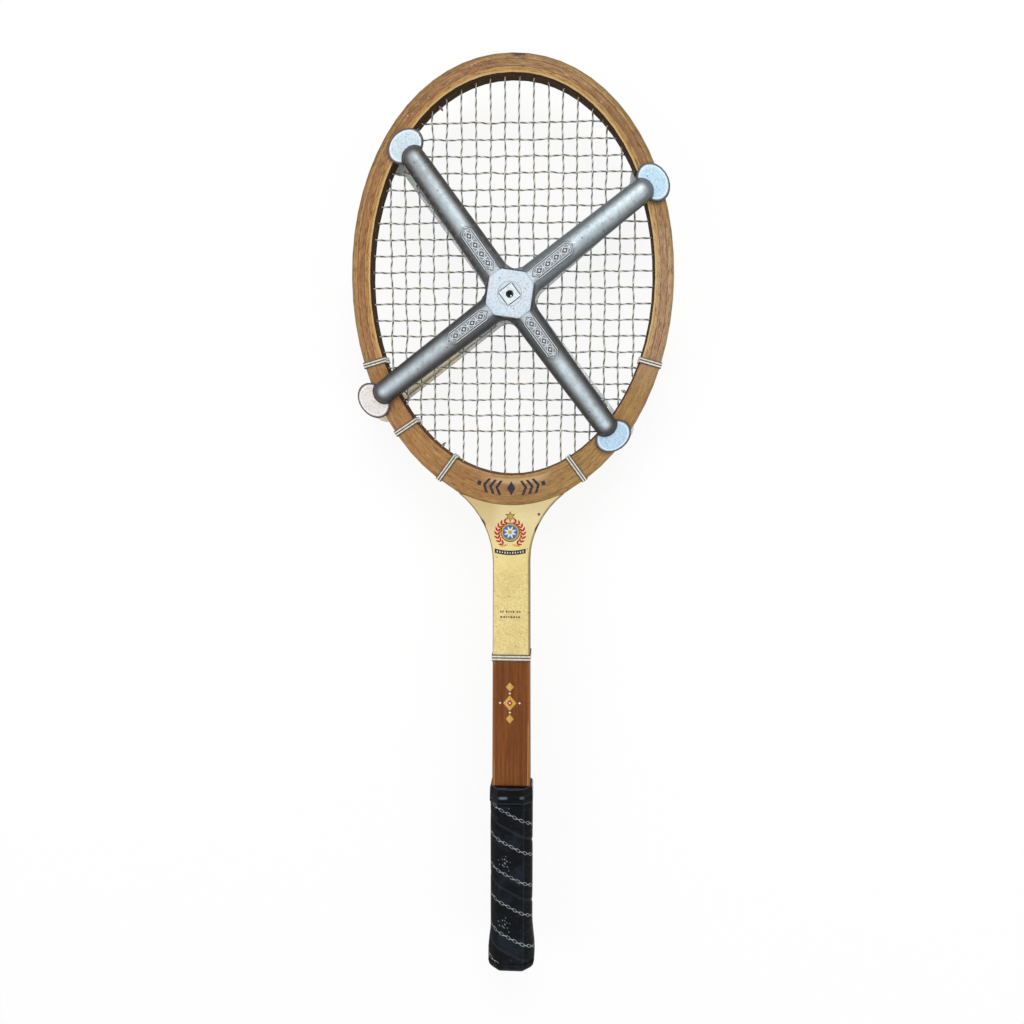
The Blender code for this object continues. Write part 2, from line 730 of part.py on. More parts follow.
def main_columns():
    """X of the upright strings on the right half."""
    room = HEAD_HALF_WIDTH - RIM_WIDTH - SIDE_ROOM
    return [(k + 0.5) * MAIN_PITCH for k in range(int(room / MAIN_PITCH + 0.5))]


def cross_rows():
    """Y of the strings that run across."""
    room = LENGTH - RIM_WIDTH - TOP_ROOM - CROSS_FIRST_Y
    return [CROSS_FIRST_Y + k * CROSS_PITCH for k in range(int(room / CROSS_PITCH) + 1)]


def wall_angle_at_x(x, end):
    """Angle of the hole of the upright string at x, at the tip end (1) or the throat (-1)."""
    return solve(lambda angle: turn_line(angle)[0] - x, 0.0, end * math.pi)


def wall_angle_at_y(y):
    return solve(lambda angle: turn_line(angle)[1] - y, -math.pi / 2, math.pi / 2)


def rim_hole(angle, height, side):
    """A hole square to the rim: where a string enters it and lies in the groove outside it."""
    wall, out = turn_line(angle), rim(angle, GROOVE_DEPTH - STRING_RADIUS - GLUE_LINE)
    end = rim(angle, -HOLE_OVERRUN)
    points = [(side * point[0], point[1]) for point in (wall, out, end)]
    return {"kind": "rim", "angle": angle, "side": side, "height": height, "points": points}


def throat_hole(x, kind):
    """A hole straight down through the throat, to the channel or to the outside of the shoulder."""
    column = abs(x)
    wall = inner_wall(wall_angle_at_x(column, -1))[:2]
    if kind == "channel":
        edge = rim(-math.acos(column / HEAD_HALF_WIDTH))[1]
        out = edge - STRING_CHANNEL / 2
        end = out
    else:
        reach = SHOULDER_RADIUS + GROOVE_DEPTH - STRING_RADIUS - GLUE_LINE
        out = SHOULDER_Y + math.sqrt(reach**2 - (SHOULDER_X - column) ** 2)
        end = out - HOLE_OVERRUN - GROOVE_DEPTH
    points = [(x, wall[1]), (x, out), (x, end)]
    return {"kind": kind, "angle": 0.0, "side": 1, "height": STRING_LIFT, "points": points}


def main_holes():
    """Throat-end and tip-end holes of each upright string, from left to right."""
    right = main_columns()
    channel_half = shoulder(shoulder_meets_edge(), core_depth())[0] - HOLE_RADIUS - GLUE_LINE
    holes = []
    for x in [-x for x in reversed(right)] + right:
        side = math.copysign(1, x)
        rank = right.index(abs(x))
        partner = right[rank + 1 if rank % 2 == 0 and rank + 1 < len(right) else rank]
        if partner < channel_half:
            low = throat_hole(x, "channel")
        elif abs(x) < SHOULDER_HALF_WIDTH:
            low = throat_hole(x, "shoulder")
        else:
            low = rim_hole(wall_angle_at_x(abs(x), -1), STRING_LIFT, side)
        high = rim_hole(wall_angle_at_x(abs(x), 1), STRING_LIFT, side)
        holes.append((low, high))
    return holes


def cross_holes():
    """Left and right holes of each string that runs across, from the throat up."""
    angles = [wall_angle_at_y(y) for y in cross_rows()]
    return [[rim_hole(angle, -STRING_LIFT, side) for side in (-1, 1)] for angle in angles]


def tie_holes():
    """Extra holes by which the strings' four ends come back inside to their knots."""
    columns, rows = main_columns(), cross_rows()
    last_low = inner_wall(wall_angle_at_x(columns[-1], -1))[1]
    below = max(k for k, y in enumerate(rows) if y < last_low)
    beside_main = (wall_angle_at_y(rows[below - 1]) + wall_angle_at_y(rows[below])) / 2
    ties = {
        "main_start": rim_hole(beside_main, STRING_LIFT, -1),
        "main_end": rim_hole(beside_main, STRING_LIFT, 1),
    }
    last_side = 1 if len(rows) % 2 else -1
    for name, y, end, side in (("cross_start", rows[0], -1, -1), ("cross_end", rows[-1], 1, last_side)):
        reach = turn_line(wall_angle_at_y(y))[0] - CROSSING_ROOM
        crossed = [x for x in columns if x < reach]
        beside = sum(wall_angle_at_x(x, end) for x in crossed[-2:]) / 2
        ties[name] = rim_hole(beside, -STRING_LIFT, side)
    return ties


def make_hole_cutter(holes):
    """One prism for each string hole, all in one cutter."""
    mesh = bmesh.new()
    for hole in holes:
        wall, _, end = hole["points"]
        along = ((end[0] - wall[0]), (end[1] - wall[1]))
        size = math.hypot(*along)
        along = (along[0] / size, along[1] / size)
        rings = []
        for x, y in ((wall[0] - along[0] * HOLE_OVERRUN, wall[1] - along[1] * HOLE_OVERRUN), end):
            ring = []
            for k in range(HOLE_SIDES):
                turn = 2 * math.pi * k / HOLE_SIDES
                aside = HOLE_RADIUS * math.cos(turn)
                rise = HOLE_RADIUS * math.sin(turn)
                ring.append((x - along[1] * aside, y + along[0] * aside, hole["height"] + rise))
            rings.append(ring)
        add_rings(mesh, rings)
    return as_cutter(solid_object("string_hole_cutter", mesh))


def make_groove_cutter():
    """The groove round the outside of the bow in which the strings turn back."""
    lowest = min(x for x in main_columns() if main_kind(x) == "shoulder")
    start = solve(
        lambda angle: shoulder(angle)[0] - (lowest - GROOVE_PAST_HOLE), SHOULDER_START, math.pi
    )
    profile = section(-HOLE_OVERRUN, GROOVE_DEPTH, GROOVE_HALF_WIDTH)
    return as_cutter(along_bow("string_groove_cutter", profile, None, start, leg=False))


def main_kind(x):
    return next(low["kind"] for low, _ in main_holes() if abs(low["points"][0][0] - x) < MM)


def lifted(point, height):
    return (*point, height)


def run_outside(first, second):
    """Points between two holes' outer ends, following the groove round the rim."""
    points = []
    if first["kind"] == "rim" and second["kind"] == "rim" and first["side"] == second["side"]:
        span = second["angle"] - first["angle"]
        start, end = first["points"][1], second["points"][1]
        steps = max(1, math.ceil(math.dist(start, end) / LOOP_STEP))
        for k in range(1, steps):
            angle = first["angle"] + span * k / steps
            x, y = rim(angle, GROOVE_DEPTH - STRING_RADIUS - GLUE_LINE)[:2]
            points.append((first["side"] * x, y, first["height"]))
    return points


def tie_end(hole):
    """From a knot inside the head out through its hole: points with the string's radius at each."""
    wall, out, _ = hole["points"]
    in_x, in_y = wall[0] - out[0], wall[1] - out[1]
    size = math.hypot(in_x, in_y)
    height = hole["height"]
    path = []
    shape = ((1.35, 0.45), (1.25, 0.9), (1.0, 1.0), (0.7, 0.95), (0.55, 0.5))
    for share, swell in shape:
        reach = KNOT_REACH * share
        point = (wall[0] + in_x / size * reach, wall[1] + in_y / size * reach, height)
        path.append((point, KNOT_RADIUS * swell))
    path.append((lifted(wall, height), STRING_RADIUS))
    path.append((lifted(out, height), STRING_RADIUS))
    return path


def crossing_height(x, y, column, row, is_main):
    """Height of a string where it crosses another: over and under by turns, level near the rim."""
    wall_x = inner_wall(wall_angle_at_y(y))[0]
    low = inner_wall(wall_angle_at_x(abs(x), -1))[1]
    high = inner_wall(wall_angle_at_x(abs(x), 1))[1]
    main_over = (column + row) % 2 == 0
    if wall_x - abs(x) < LEVEL_ROOM or y - low < LEVEL_ROOM or high - y < LEVEL_ROOM:
        main_over = True
    return STRING_LIFT if main_over == is_main else -STRING_LIFT


def make_main_string(holes, ties):
    right = main_columns()
    columns = [-x for x in reversed(right)] + right
    path = tie_end(ties["main_start"])
    previous = ties["main_start"]
    for column, (x, (low, high)) in enumerate(zip(columns, holes)):
        first, last = (low, high) if column % 2 == 0 else (high, low)
        path += [(point, STRING_RADIUS) for point in run_outside(previous, first)]
        reach = (low["points"][0][1] + CROSSING_ROOM, high["points"][0][1] - CROSSING_ROOM)
        run = [
            (x, y, crossing_height(x, y, column, row, True))
            for row, y in enumerate(cross_rows())
            if reach[0] < y < reach[1]
        ]
        run = [lifted(low["points"][k], low["height"]) for k in (1, 0)] + run
        run += [lifted(high["points"][k], high["height"]) for k in (0, 1)]
        path += [(point, STRING_RADIUS) for point in (run if column % 2 == 0 else run[::-1])]
        previous = last
    path += [(point, STRING_RADIUS) for point in run_outside(previous, ties["main_end"])]
    path += tie_end(ties["main_end"])[::-1]
    tube("main_string", path)


def make_cross_string(holes, ties):
    right = main_columns()
    columns = [-x for x in reversed(right)] + right
    path = tie_end(ties["cross_start"])
    previous = ties["cross_start"]
    for row, (y, (left, right_hole)) in enumerate(zip(cross_rows(), holes)):
        first, last = (left, right_hole) if row % 2 == 0 else (right_hole, left)
        path += [(point, STRING_RADIUS) for point in run_outside(previous, first)]
        reach = right_hole["points"][0][0] - CROSSING_ROOM
        run = [
            (x, y, crossing_height(x, y, column, row, False))
            for column, x in enumerate(columns)
            if abs(x) < reach
        ]
        run = [lifted(left["points"][k], left["height"]) for k in (1, 0)] + run
        run += [lifted(right_hole["points"][k], right_hole["height"]) for k in (0, 1)]
        path += [(point, STRING_RADIUS) for point in (run if row % 2 == 0 else run[::-1])]
        previous = last
    path += [(point, STRING_RADIUS) for point in run_outside(previous, ties["cross_end"])]
    path += tie_end(ties["cross_end"])[::-1]
    tube("cross_string", path)


def unit(vector):
    size = math.sqrt(sum(value * value for value in vector))
    return tuple(value / size for value in vector)


def cross_product(a, b):
    return (a[1] * b[2] - a[2] * b[1], a[2] * b[0] - a[0] * b[2], a[0] * b[1] - a[1] * b[0])


def tube(name, path):
    """A four-sided tube through points with a radius at each, mitred where it turns in its plane."""
    path = [path[0]] + [item for last, item in zip(path, path[1:]) if math.dist(last[0], item[0]) > 0.1 * MM]
    rings = []
    for i, (point, radius) in enumerate(path):
        before = path[max(i - 1, 0)][0]
        after = path[min(i + 1, len(path) - 1)][0]
        into = unit([b - a for a, b in zip(before, point)]) if i else None
        out = unit([b - a for a, b in zip(point, after)]) if i < len(path) - 1 else None
        into, out = into or out, out or into
        tangent = unit([a + b for a, b in zip(into, out)])
        lean = sum(a * b for a, b in zip(tangent, into))
        mitre = min(1.5, 1 / max(lean, 0.1))
        side = unit(cross_product(tangent, UP))
        rise = cross_product(side, tangent)
        ring = []
        for aside, upward in ((mitre, 0), (0, 1), (-mitre, 0), (0, -1)):
            ring.append(
                tuple(p + radius * (aside * s + upward * r) for p, s, r in zip(point, side, rise))
            )
        rings.append(ring)
    swept(name, rings, ((0.75, 0.7, 0.58), 0.4), smooth_angle=60)
    crossings = [point for point, _ in path]
    print(f"{name}: least gap between its own runs {least_gap(crossings) / MM:.2f} mm")


def least_gap(points):
    """Least gap from the string to itself, between points that are far apart along it."""
    lengths = [0.0]
    for first, second in zip(points, points[1:]):
        lengths.append(lengths[-1] + math.dist(first, second))
    least = math.inf
    apart = 4 * LOOP_STEP
    for i, point in enumerate(points):
        for j in range(i + 1, len(points)):
            if lengths[j] - lengths[i] > apart:
                least = min(least, math.dist(point, points[j]))
    return least - 2 * STRING_RADIUS


# Press


def arm_section(half_width, base, top):
    """Half-round section of a press arm, across it and up."""
    height = top - base
    points = [(-half_width, base)]
    for degrees in (170, 148, 126, 104, 90, 76, 54, 32, 10):
        turn = math.radians(degrees)
        points.append((half_width * math.cos(turn), base + height * (0.25 + 0.75 * math.sin(turn))))
    return points + [(half_width, base)]


def arm_share(reach):
    return min(1.0, reach / FOOT_CENTRE)


def arm_half_width(reach):
    share = arm_share(reach)
    return ARM_HALF_WIDTH_AT_HUB + (ARM_HALF_WIDTH_AT_END - ARM_HALF_WIDTH_AT_HUB) * share


def arm_top(reach):
    return ARM_TOP_AT_HUB + (ARM_TOP_AT_END - ARM_TOP_AT_HUB) * arm_share(reach)


def turned(point, turn):
    x, y, z = point
    return x * math.cos(turn) - y * math.sin(turn), x * math.sin(turn) + y * math.cos(turn), z


def arm_rings(turn):
    """Sections of an arm, from the hub to its round end above the foot."""
    bed = FOOT_THICKNESS / 2
    places = [(ARM_START, ARM_BASE), (CHANNEL_END, ARM_BASE), (CHANNEL_END + ARM_BASE - bed, bed)]
    end_radius = arm_half_width(ARM_END)
    rings = []
    for reach, base in places:
        rings.append((reach, arm_section(arm_half_width(reach), base, arm_top(reach))))
    for degrees in (0, 28, 52, 72):
        shrink = math.cos(math.radians(degrees))
        reach = ARM_END - end_radius + end_radius * math.sin(math.radians(degrees))
        top = bed + (arm_top(reach) - bed) * shrink
        rings.append((reach, arm_section(end_radius * shrink, bed, top)))
    return [[turned((reach, y, z), turn) for y, z in ring] for reach, ring in rings]


def foot_outline(turn):
    points = []
    for k in range(FOOT_POINTS):
        angle = 2 * math.pi * k / FOOT_POINTS
        x = FOOT_CENTRE + FOOT_HALF_LENGTH * math.cos(angle)
        y = FOOT_HALF_WIDTH * math.sin(angle)
        points.append(turned((x, y, 0), turn)[:2])
    return points


def web_outline():
    """Plan of the hub's low web: four stubs with round fillets between them."""
    half = ARM_HALF_WIDTH_AT_HUB
    far = half + HUB_FILLET
    points = []
    for k in range(4):
        turn = k * math.pi / 2
        for degrees in (270, 247, 225, 203, 180):
            angle = math.radians(degrees)
            x = far + HUB_FILLET * math.cos(angle)
            y = far + HUB_FILLET * math.sin(angle)
            points.append(turned((x, y, 0), turn)[:2])
    return points


def hub_outline(grow):
    """Plan of the hub's raised boss: a square turned with the arms, its corners cut off."""
    half, corner_sum = HUB_HALF + grow / 2, HUB_CORNER_SUM + grow
    short = corner_sum - half
    points = []
    for k in range(4):
        for x, y in ((half, -short), (half, short)):
            points.append(turned((x, y, 0), k * math.pi / 2)[:2])
    return points


def pad_outline(turn):
    """Plan of the raised field on an arm, with a pointed outer end."""
    shoulder_x = PAD_END - PAD_POINT
    shape = ((PAD_START, PAD_HALF_WIDTH), (PAD_START, -PAD_HALF_WIDTH))
    shape += ((shoulder_x, -PAD_HALF_WIDTH), (PAD_END, -PAD_TIP), (PAD_END, PAD_TIP))
    shape += ((shoulder_x, PAD_HALF_WIDTH),)
    return [turned((x, y, 0), turn)[:2] for x, y in shape]


def channel_rings(turn):
    """Cutter for the hollow under an arm, which leaves an even wall."""
    rings = []
    for reach in (CHANNEL_START, CHANNEL_END):
        half = arm_half_width(reach) - ARM_WALL
        top = arm_top(reach) - ARM_WALL
        shape = ((-half, -MM), (-half, 0.45 * top), (-0.55 * half, 0.88 * top), (0.55 * half, 0.88 * top))
        shape += ((half, 0.45 * top), (half, -MM))
        rings.append([turned((reach, y, z), turn) for y, z in shape])
    return rings


def round_outline(radius, sides=TURNED_SIDES):
    return [
        (radius * math.cos(2 * math.pi * k / sides), radius * math.sin(2 * math.pi * k / sides))
        for k in range(sides)
    ]


def square_outline(half):
    return [(-half, -half), (half, -half), (half, half), (-half, half)]


def make_casting(name, front, look):
    """One half of the press, built standing on its feet at height 0 and then put on its face."""
    web = plate(name, web_outline(), ARM_BASE + HUB_STEP, HUB_WEB_TOP, look)
    low = [(x, y, ARM_BASE + 2 * HUB_STEP) for x, y in hub_outline(HUB_FLARE)]
    high = [(x, y, HUB_TOP) for x, y in hub_outline(0.0)]
    joined = [swept(f"{name}_boss", [low, high])]
    channels = []
    for k in range(4):
        turn = k * math.pi / 2
        joined.append(swept(f"{name}_arm_{k}", arm_rings(turn)))
        joined.append(plate(f"{name}_foot_{k}", foot_outline(turn), 0.0, FOOT_THICKNESS))
        pad_top = arm_top(PAD_START) + PAD_PROUD
        joined.append(plate(f"{name}_pad_{k}", pad_outline(turn), HUB_WEB_TOP - MM, pad_top))
        channels.append(swept(f"{name}_channel_{k}", channel_rings(turn)))
    bore = round_outline(SCREW_RADIUS + SCREW_CLEARANCE)
    holes = [plate(f"{name}_bore", bore, -MM, HUB_TOP + MM)]
    if front:
        pocket = square_outline(NUT_SIDE / 2 + GLUE_LINE)
        floor = HUB_TOP - NUT_THICKNESS - GLUE_LINE
        holes.append(plate(f"{name}_pocket", pocket, floor, HUB_TOP + MM))
    lengthen_upper_arms([web, *joined, *channels], front)
    for other in joined:
        combine(web, as_cutter(other), "UNION")
    for other in channels + holes:
        combine(web, as_cutter(other))
    put_on_face([web, *joined, *channels, *holes], front)
    return web


def lengthen_upper_arms(pieces, front):
    """Stretches a half above its screw, where the head reaches further than below it."""
    turn = half_turn(front)
    up_x, up_y = math.sin(turn), math.cos(turn) if front else -math.cos(turn)
    for piece in pieces:
        for vertex in piece.data.vertices:
            height = vertex.co.x * up_x + vertex.co.y * up_y
            more = max(0.0, height) * (UPPER_STRETCH - 1)
            vertex.co.x += up_x * more
            vertex.co.y += up_y * more


def half_turn(front):
    return PRESS_TURN if front else PRESS_TURN + REAR_TWIST


def put_on_face(pieces, front):
    """Sets a half's pieces on the front face, or turned over on the back one."""
    facing = 1 if front else -1
    for piece in pieces:
        piece.rotation_euler = (0.0 if front else math.pi, 0.0, half_turn(front))
        piece.location = (PRESS_X, PRESS_Y, facing * (HALF_DEPTH + GLUE_LINE))


def make_square_nut():
    """Square nut let into the front hub, which takes the screw's end."""
    low = HUB_TOP - NUT_THICKNESS
    nut = plate("square_nut", square_outline(NUT_SIDE / 2), low, HUB_TOP, ((0.45, 0.46, 0.45), 0.35, 1.0))
    bore = plate("square_nut_bore", round_outline(SCREW_RADIUS + GLUE_LINE), low - MM, HUB_TOP + MM)
    combine(nut, as_cutter(bore))
    put_on_face([nut, bore], True)


def make_screw():
    """Wing screw, with its axis as its own Z: the shank runs up through both hubs into the nut."""
    face = HALF_DEPTH + GLUE_LINE
    top = face + HUB_TOP - SCREW_END_SUNK
    seat = -(face + HUB_TOP + WASHER_THICKNESS + 2 * GLUE_LINE)
    tip = seat - BOSS_LENGTH
    profile = ((0.82, tip), (1.0, tip + 1.5 * MM), (1.0, seat))
    rings = [ring_at(BOSS_RADIUS * share, z) for share, z in profile]
    rings += [ring_at(SCREW_RADIUS, seat), ring_at(SCREW_RADIUS, top - MM)]
    rings += [ring_at(SCREW_RADIUS - MM / 2, top)]
    steel = ((0.4, 0.4, 0.39), 0.35, 1.0)
    screw = swept("wing_screw", rings, steel)
    joined = [
        swept(f"wing_screw_wing_{name}", wing_rings(side, seat))
        for name, side in (("right", 1), ("left", -1))
    ]
    for wing in joined:
        combine(screw, as_cutter(wing), "UNION")
    washer_top = -(face + HUB_TOP + GLUE_LINE)
    radii = (WASHER_RADIUS, SCREW_RADIUS + SCREW_CLEARANCE)
    low = washer_top - WASHER_THICKNESS
    rings = [ring_at(radii[0], low), ring_at(radii[0], washer_top)]
    rings += [ring_at(radii[1], washer_top), ring_at(radii[1], low)]
    washer = swept("screw_washer", rings, steel, closed=True)
    for piece in (screw, washer, *joined):
        piece.location = (PRESS_X, PRESS_Y, 0.0)


def ring_at(radius, z):
    return [(x, y, z) for x, y in round_outline(radius)]


def wing_rings(side, seat):
    """One thumb wing: its outline beside the axis, given a thickness."""
    middle = 0.68 * WING_SPAN
    shape = [(0.5 * BOSS_RADIUS, seat - MM), (middle * 0.85, seat - 1.5 * MM)]
    lobe = WING_SPAN - middle
    centre_drop = WING_DROP - lobe
    for degrees in (40, 0, -45, -90, -135):
        turn = math.radians(degrees)
        shape.append((middle + lobe * math.cos(turn), seat - centre_drop + lobe * math.sin(turn)))
    shape.append((0.5 * BOSS_RADIUS, seat - 0.75 * BOSS_LENGTH))
    return [[(side * x, y, z) for x, z in shape] for y in (-WING_HALF_THICKNESS, WING_HALF_THICKNESS)]


def make_racket():
    mains, crosses, ties = main_holes(), cross_holes(), tie_holes()
    every = [hole for pair in mains + crosses for hole in pair] + list(ties.values())
    cutter = make_hole_cutter(every)
    seats = make_overlay_seats()
    make_bow(cutter, seats, make_groove_cutter())
    make_head_inner_ply(cutter, seats)
    make_shoulder_veneers()
    make_throat_bridge(cutter)
    make_throat_wedge()
    ends = (CAP_HEIGHT + GLUE_LINE, WEDGE_END_Y - GLUE_LINE)
    look = ((0.3, 0.15, 0.07), 0.5)
    shaft_slab("shaft_spline", *ends, core_depth(), -SEAT_HALF_DEPTH, SEAT_HALF_DEPTH, look)
    make_overlays()
    make_bands()
    make_handle_core()
    make_grip_strip()
    make_butt_cap()
    make_collar()
    make_main_string(mains, ties)
    make_cross_string(crosses, ties)


def make_press():
    aluminium = ((0.5, 0.52, 0.54), 0.4, 0.9)
    make_casting("press_front_casting", True, aluminium)
    make_casting("press_rear_casting", False, aluminium)
    make_square_nut()
    make_screw()


clear_scene()
make_racket()
make_press()
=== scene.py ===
import math
import random

import bmesh
import bpy
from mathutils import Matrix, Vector


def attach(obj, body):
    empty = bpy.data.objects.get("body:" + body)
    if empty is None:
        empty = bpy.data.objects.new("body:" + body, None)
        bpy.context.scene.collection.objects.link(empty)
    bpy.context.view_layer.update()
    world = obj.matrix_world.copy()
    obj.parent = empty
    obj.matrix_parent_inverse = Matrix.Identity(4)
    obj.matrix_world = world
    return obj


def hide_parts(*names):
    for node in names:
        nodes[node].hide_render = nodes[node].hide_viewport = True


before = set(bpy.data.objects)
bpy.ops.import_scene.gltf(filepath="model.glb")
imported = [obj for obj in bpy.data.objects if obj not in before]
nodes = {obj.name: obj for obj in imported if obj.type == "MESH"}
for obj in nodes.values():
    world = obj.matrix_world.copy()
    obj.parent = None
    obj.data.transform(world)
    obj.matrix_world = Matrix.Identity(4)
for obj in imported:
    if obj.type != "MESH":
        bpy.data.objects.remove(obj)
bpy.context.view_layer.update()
print("frame loaded:", len(nodes), "nodes")

mm = 0.001

# Sizes in millimetres, which repeat the CAD source
head = {"halfWidth": 116.0, "length": 685.8, "wideY": 530.0, "bottomY": 367.5, "roundness": 2.06}
rim = {"width": 14.0, "throatWidth": 22.0, "widening": 2.4, "halfDepth": 9.5}
string = {"radius": 0.65, "lift": 0.85, "groove": 1.9, "mainPitch": 10.35, "crossPitch": 11.54}
string.update({"firstRow": 421.4, "sideRoom": 12.0, "topRoom": 30.0, "crossingRoom": 1.2, "levelRoom": 3.0})
string.update({"loopStep": 12.0, "channel": 3.0, "knotReach": 3.2, "glue": 0.3, "holeRadius": 1.15})
bow = {"leaveHalfWidth": 46.0, "shaftHalfWidth": 13.6, "seatDepth": 9.6}
press = {"x": -0.5, "y": 518.4, "turn": math.radians(36.7), "rearTwist": math.radians(2), "face": 9.8}
press.update({"upperStretch": 1.04, "footCentre": 124.8, "footLength": 10.8, "footWidth": 14.1})
press.update({"armAtHub": 10.6, "armAtEnd": 8.3, "roundStart": 114.2})
grip = {"halfWidth": 16.4, "halfDepth": 14.0, "frontFlat": 19.6, "squareness": 14.0}
grip.update({"flare": 1.9, "flareFull": 14.0, "flareStart": 38.0, "top": 137.0, "cap": 9.0})
grip.update({"lead": 50.0, "middle": -20.6, "leather": 1.6, "seam": 0.06})


# Outline of the head, and where the strings pass through it

def signedPower(value, power):
    return math.copysign(abs(value) ** power, value)


def rimPoint(angle, depth=0.0):
    across, along = math.cos(angle), math.sin(angle)
    power = head["roundness"] if along > 0 else 2.0
    height = head["length"] - head["wideY"] if along > 0 else head["wideY"] - head["bottomY"]
    u, v = signedPower(across, 2 / power), signedPower(along, 2 / power)
    inX = -signedPower(u, power - 1) / head["halfWidth"]
    inY = -signedPower(v, power - 1) / height
    size = math.hypot(inX, inY)
    inX, inY = inX / size, inY / size
    return head["halfWidth"] * u + inX * depth, head["wideY"] + height * v + inY * depth, inX, inY


def rimWidth(angle):
    low = max(0.0, -math.sin(angle))
    return rim["width"] + (rim["throatWidth"] - rim["width"]) * low ** rim["widening"]


def turnLine(angle):
    return rimPoint(angle, rimWidth(angle) + 1.5 * string["radius"])


def solve(function, low, high):
    for _ in range(48):
        middle = (low + high) / 2
        if (function(low) < 0) == (function(middle) < 0):
            low = middle
        else:
            high = middle
    return low


def shoulderArc():
    x, y, inX, inY = rimPoint(-math.acos(bow["leaveHalfWidth"] / head["halfWidth"]))
    run = (x - bow["shaftHalfWidth"]) / inY
    radius = run / math.tan(math.acos(-inX) / 2)
    return x - inX * radius, y - inY * radius, radius, math.atan2(inY, inX)


shoulderX, shoulderY, shoulderRadius, shoulderStart = shoulderArc()


def angleAtX(x, end):
    return solve(lambda angle: turnLine(angle)[0] - x, 0.0, end * math.pi)


def angleAtY(y):
    return solve(lambda angle: turnLine(angle)[1] - y, -math.pi / 2, math.pi / 2)


sideReach = head["halfWidth"] - rim["width"] - string["sideRoom"]
rightColumns = [(k + 0.5) * string["mainPitch"] for k in range(int(sideReach / string["mainPitch"] + 0.5))]
columns = [-x for x in reversed(rightColumns)] + rightColumns
rowReach = head["length"] - rim["width"] - string["topRoom"] - string["firstRow"]
rowCount = int(rowReach / string["crossPitch"]) + 1
rows = [string["firstRow"] + k * string["crossPitch"] for k in range(rowCount)]
outDepth = string["groove"] - string["radius"] - string["glue"]


def rimHole(angle, height, side):
    points = [(side * point[0], point[1]) for point in (turnLine(angle), rimPoint(angle, outDepth))]
    return {"kind": "rim", "angle": angle, "side": side, "height": height, "points": points}


def throatHole(x, kind):
    column = abs(x)
    angle = angleAtX(column, -1)
    wall = rimPoint(angle, rimWidth(angle))[1]
    if kind == "channel":
        out = rimPoint(-math.acos(column / head["halfWidth"]))[1] - string["channel"] / 2
    else:
        out = shoulderY + math.sqrt((shoulderRadius + outDepth) ** 2 - (shoulderX - column) ** 2)
    return {"kind": kind, "angle": 0.0, "side": 1, "height": string["lift"], "points": [(x, wall), (x, out)]}


def shoulderMeetsEdge():
    reach = shoulderRadius + bow["seatDepth"]

    def height(angle):
        edge = rimPoint(-math.acos((shoulderX + reach * math.cos(angle)) / head["halfWidth"]))
        return shoulderY + reach * math.sin(angle) - edge[1]
    return shoulderX + reach * math.cos(solve(height, shoulderStart, math.pi))


def mainHoles():
    channelHalf = shoulderMeetsEdge() - string["holeRadius"] - string["glue"]
    holes = []
    for x in columns:
        side = math.copysign(1, x)
        rank = rightColumns.index(abs(x))
        partner = rightColumns[rank + 1 if rank % 2 == 0 and rank + 1 < len(rightColumns) else rank]
        if partner < channelHalf:
            low = throatHole(x, "channel")
        elif abs(x) < bow["leaveHalfWidth"]:
            low = throatHole(x, "shoulder")
        else:
            low = rimHole(angleAtX(abs(x), -1), string["lift"], side)
        holes.append((low, rimHole(angleAtX(abs(x), 1), string["lift"], side)))
    return holes


def crossHoles():
    return [[rimHole(angleAtY(y), -string["lift"], side) for side in (-1, 1)] for y in rows]


def tieHoles():
    lastAngle = angleAtX(rightColumns[-1], -1)
    lastLow = rimPoint(lastAngle, rimWidth(lastAngle))[1]
    below = max(k for k, y in enumerate(rows) if y < lastLow)
    beside = (angleAtY(rows[below - 1]) + angleAtY(rows[below])) / 2
    ties = {"mainStart": rimHole(beside, string["lift"], -1), "mainEnd": rimHole(beside, string["lift"], 1)}
    lastSide = 1 if len(rows) % 2 else -1
    for name, y, end, side in (("crossStart", rows[0], -1, -1), ("crossEnd", rows[-1], 1, lastSide)):
        reach = turnLine(angleAtY(y))[0] - string["crossingRoom"]
        crossed = [x for x in rightColumns if x < reach]
        angle = sum(angleAtX(x, end) for x in crossed[-2:]) / 2
        ties[name] = rimHole(angle, -string["lift"], side)
    return ties


# Shader graphs

def paint(red, green, blue):
    return tuple((value / 255 / 12.92) if value < 10 else ((value / 255 + 0.055) / 1.055) ** 2.4
                 for value in (red, green, blue)) + (1.0,)


class Field:
    def __init__(self, graph, socket):
        self.graph, self.socket = graph, socket

    def join(self, operation, other=0.0, flipped=False):
        pair = (other, self) if flipped else (self, other)
        return self.graph.make("ShaderNodeMath", {0: pair[0], 1: pair[1]}, operation=operation)

    def step(self, low, high):
        inputs = {"Value": self, "From Min": low, "From Max": high}
        return self.graph.make("ShaderNodeMapRange", inputs, interpolation_type="SMOOTHSTEP")

    def reach(self, other):
        return (self * self + other * other).root()


def fieldMethod(operation, flipped):
    return lambda field, other=0.0: field.join(operation, other, flipped)


for method, operation in (
    ("__add__", "ADD"), ("__sub__", "SUBTRACT"), ("__mul__", "MULTIPLY"), ("__truediv__", "DIVIDE"),
    ("__pow__", "POWER"), ("__abs__", "ABSOLUTE"), ("most", "MAXIMUM"), ("least", "MINIMUM"),
    ("root", "SQRT"), ("fract", "FRACT"),
):
    setattr(Field, method, fieldMethod(operation, False))
for method, operation in (("__radd__", "ADD"), ("__rsub__", "SUBTRACT"), ("__rmul__", "MULTIPLY")):
    setattr(Field, method, fieldMethod(operation, True))


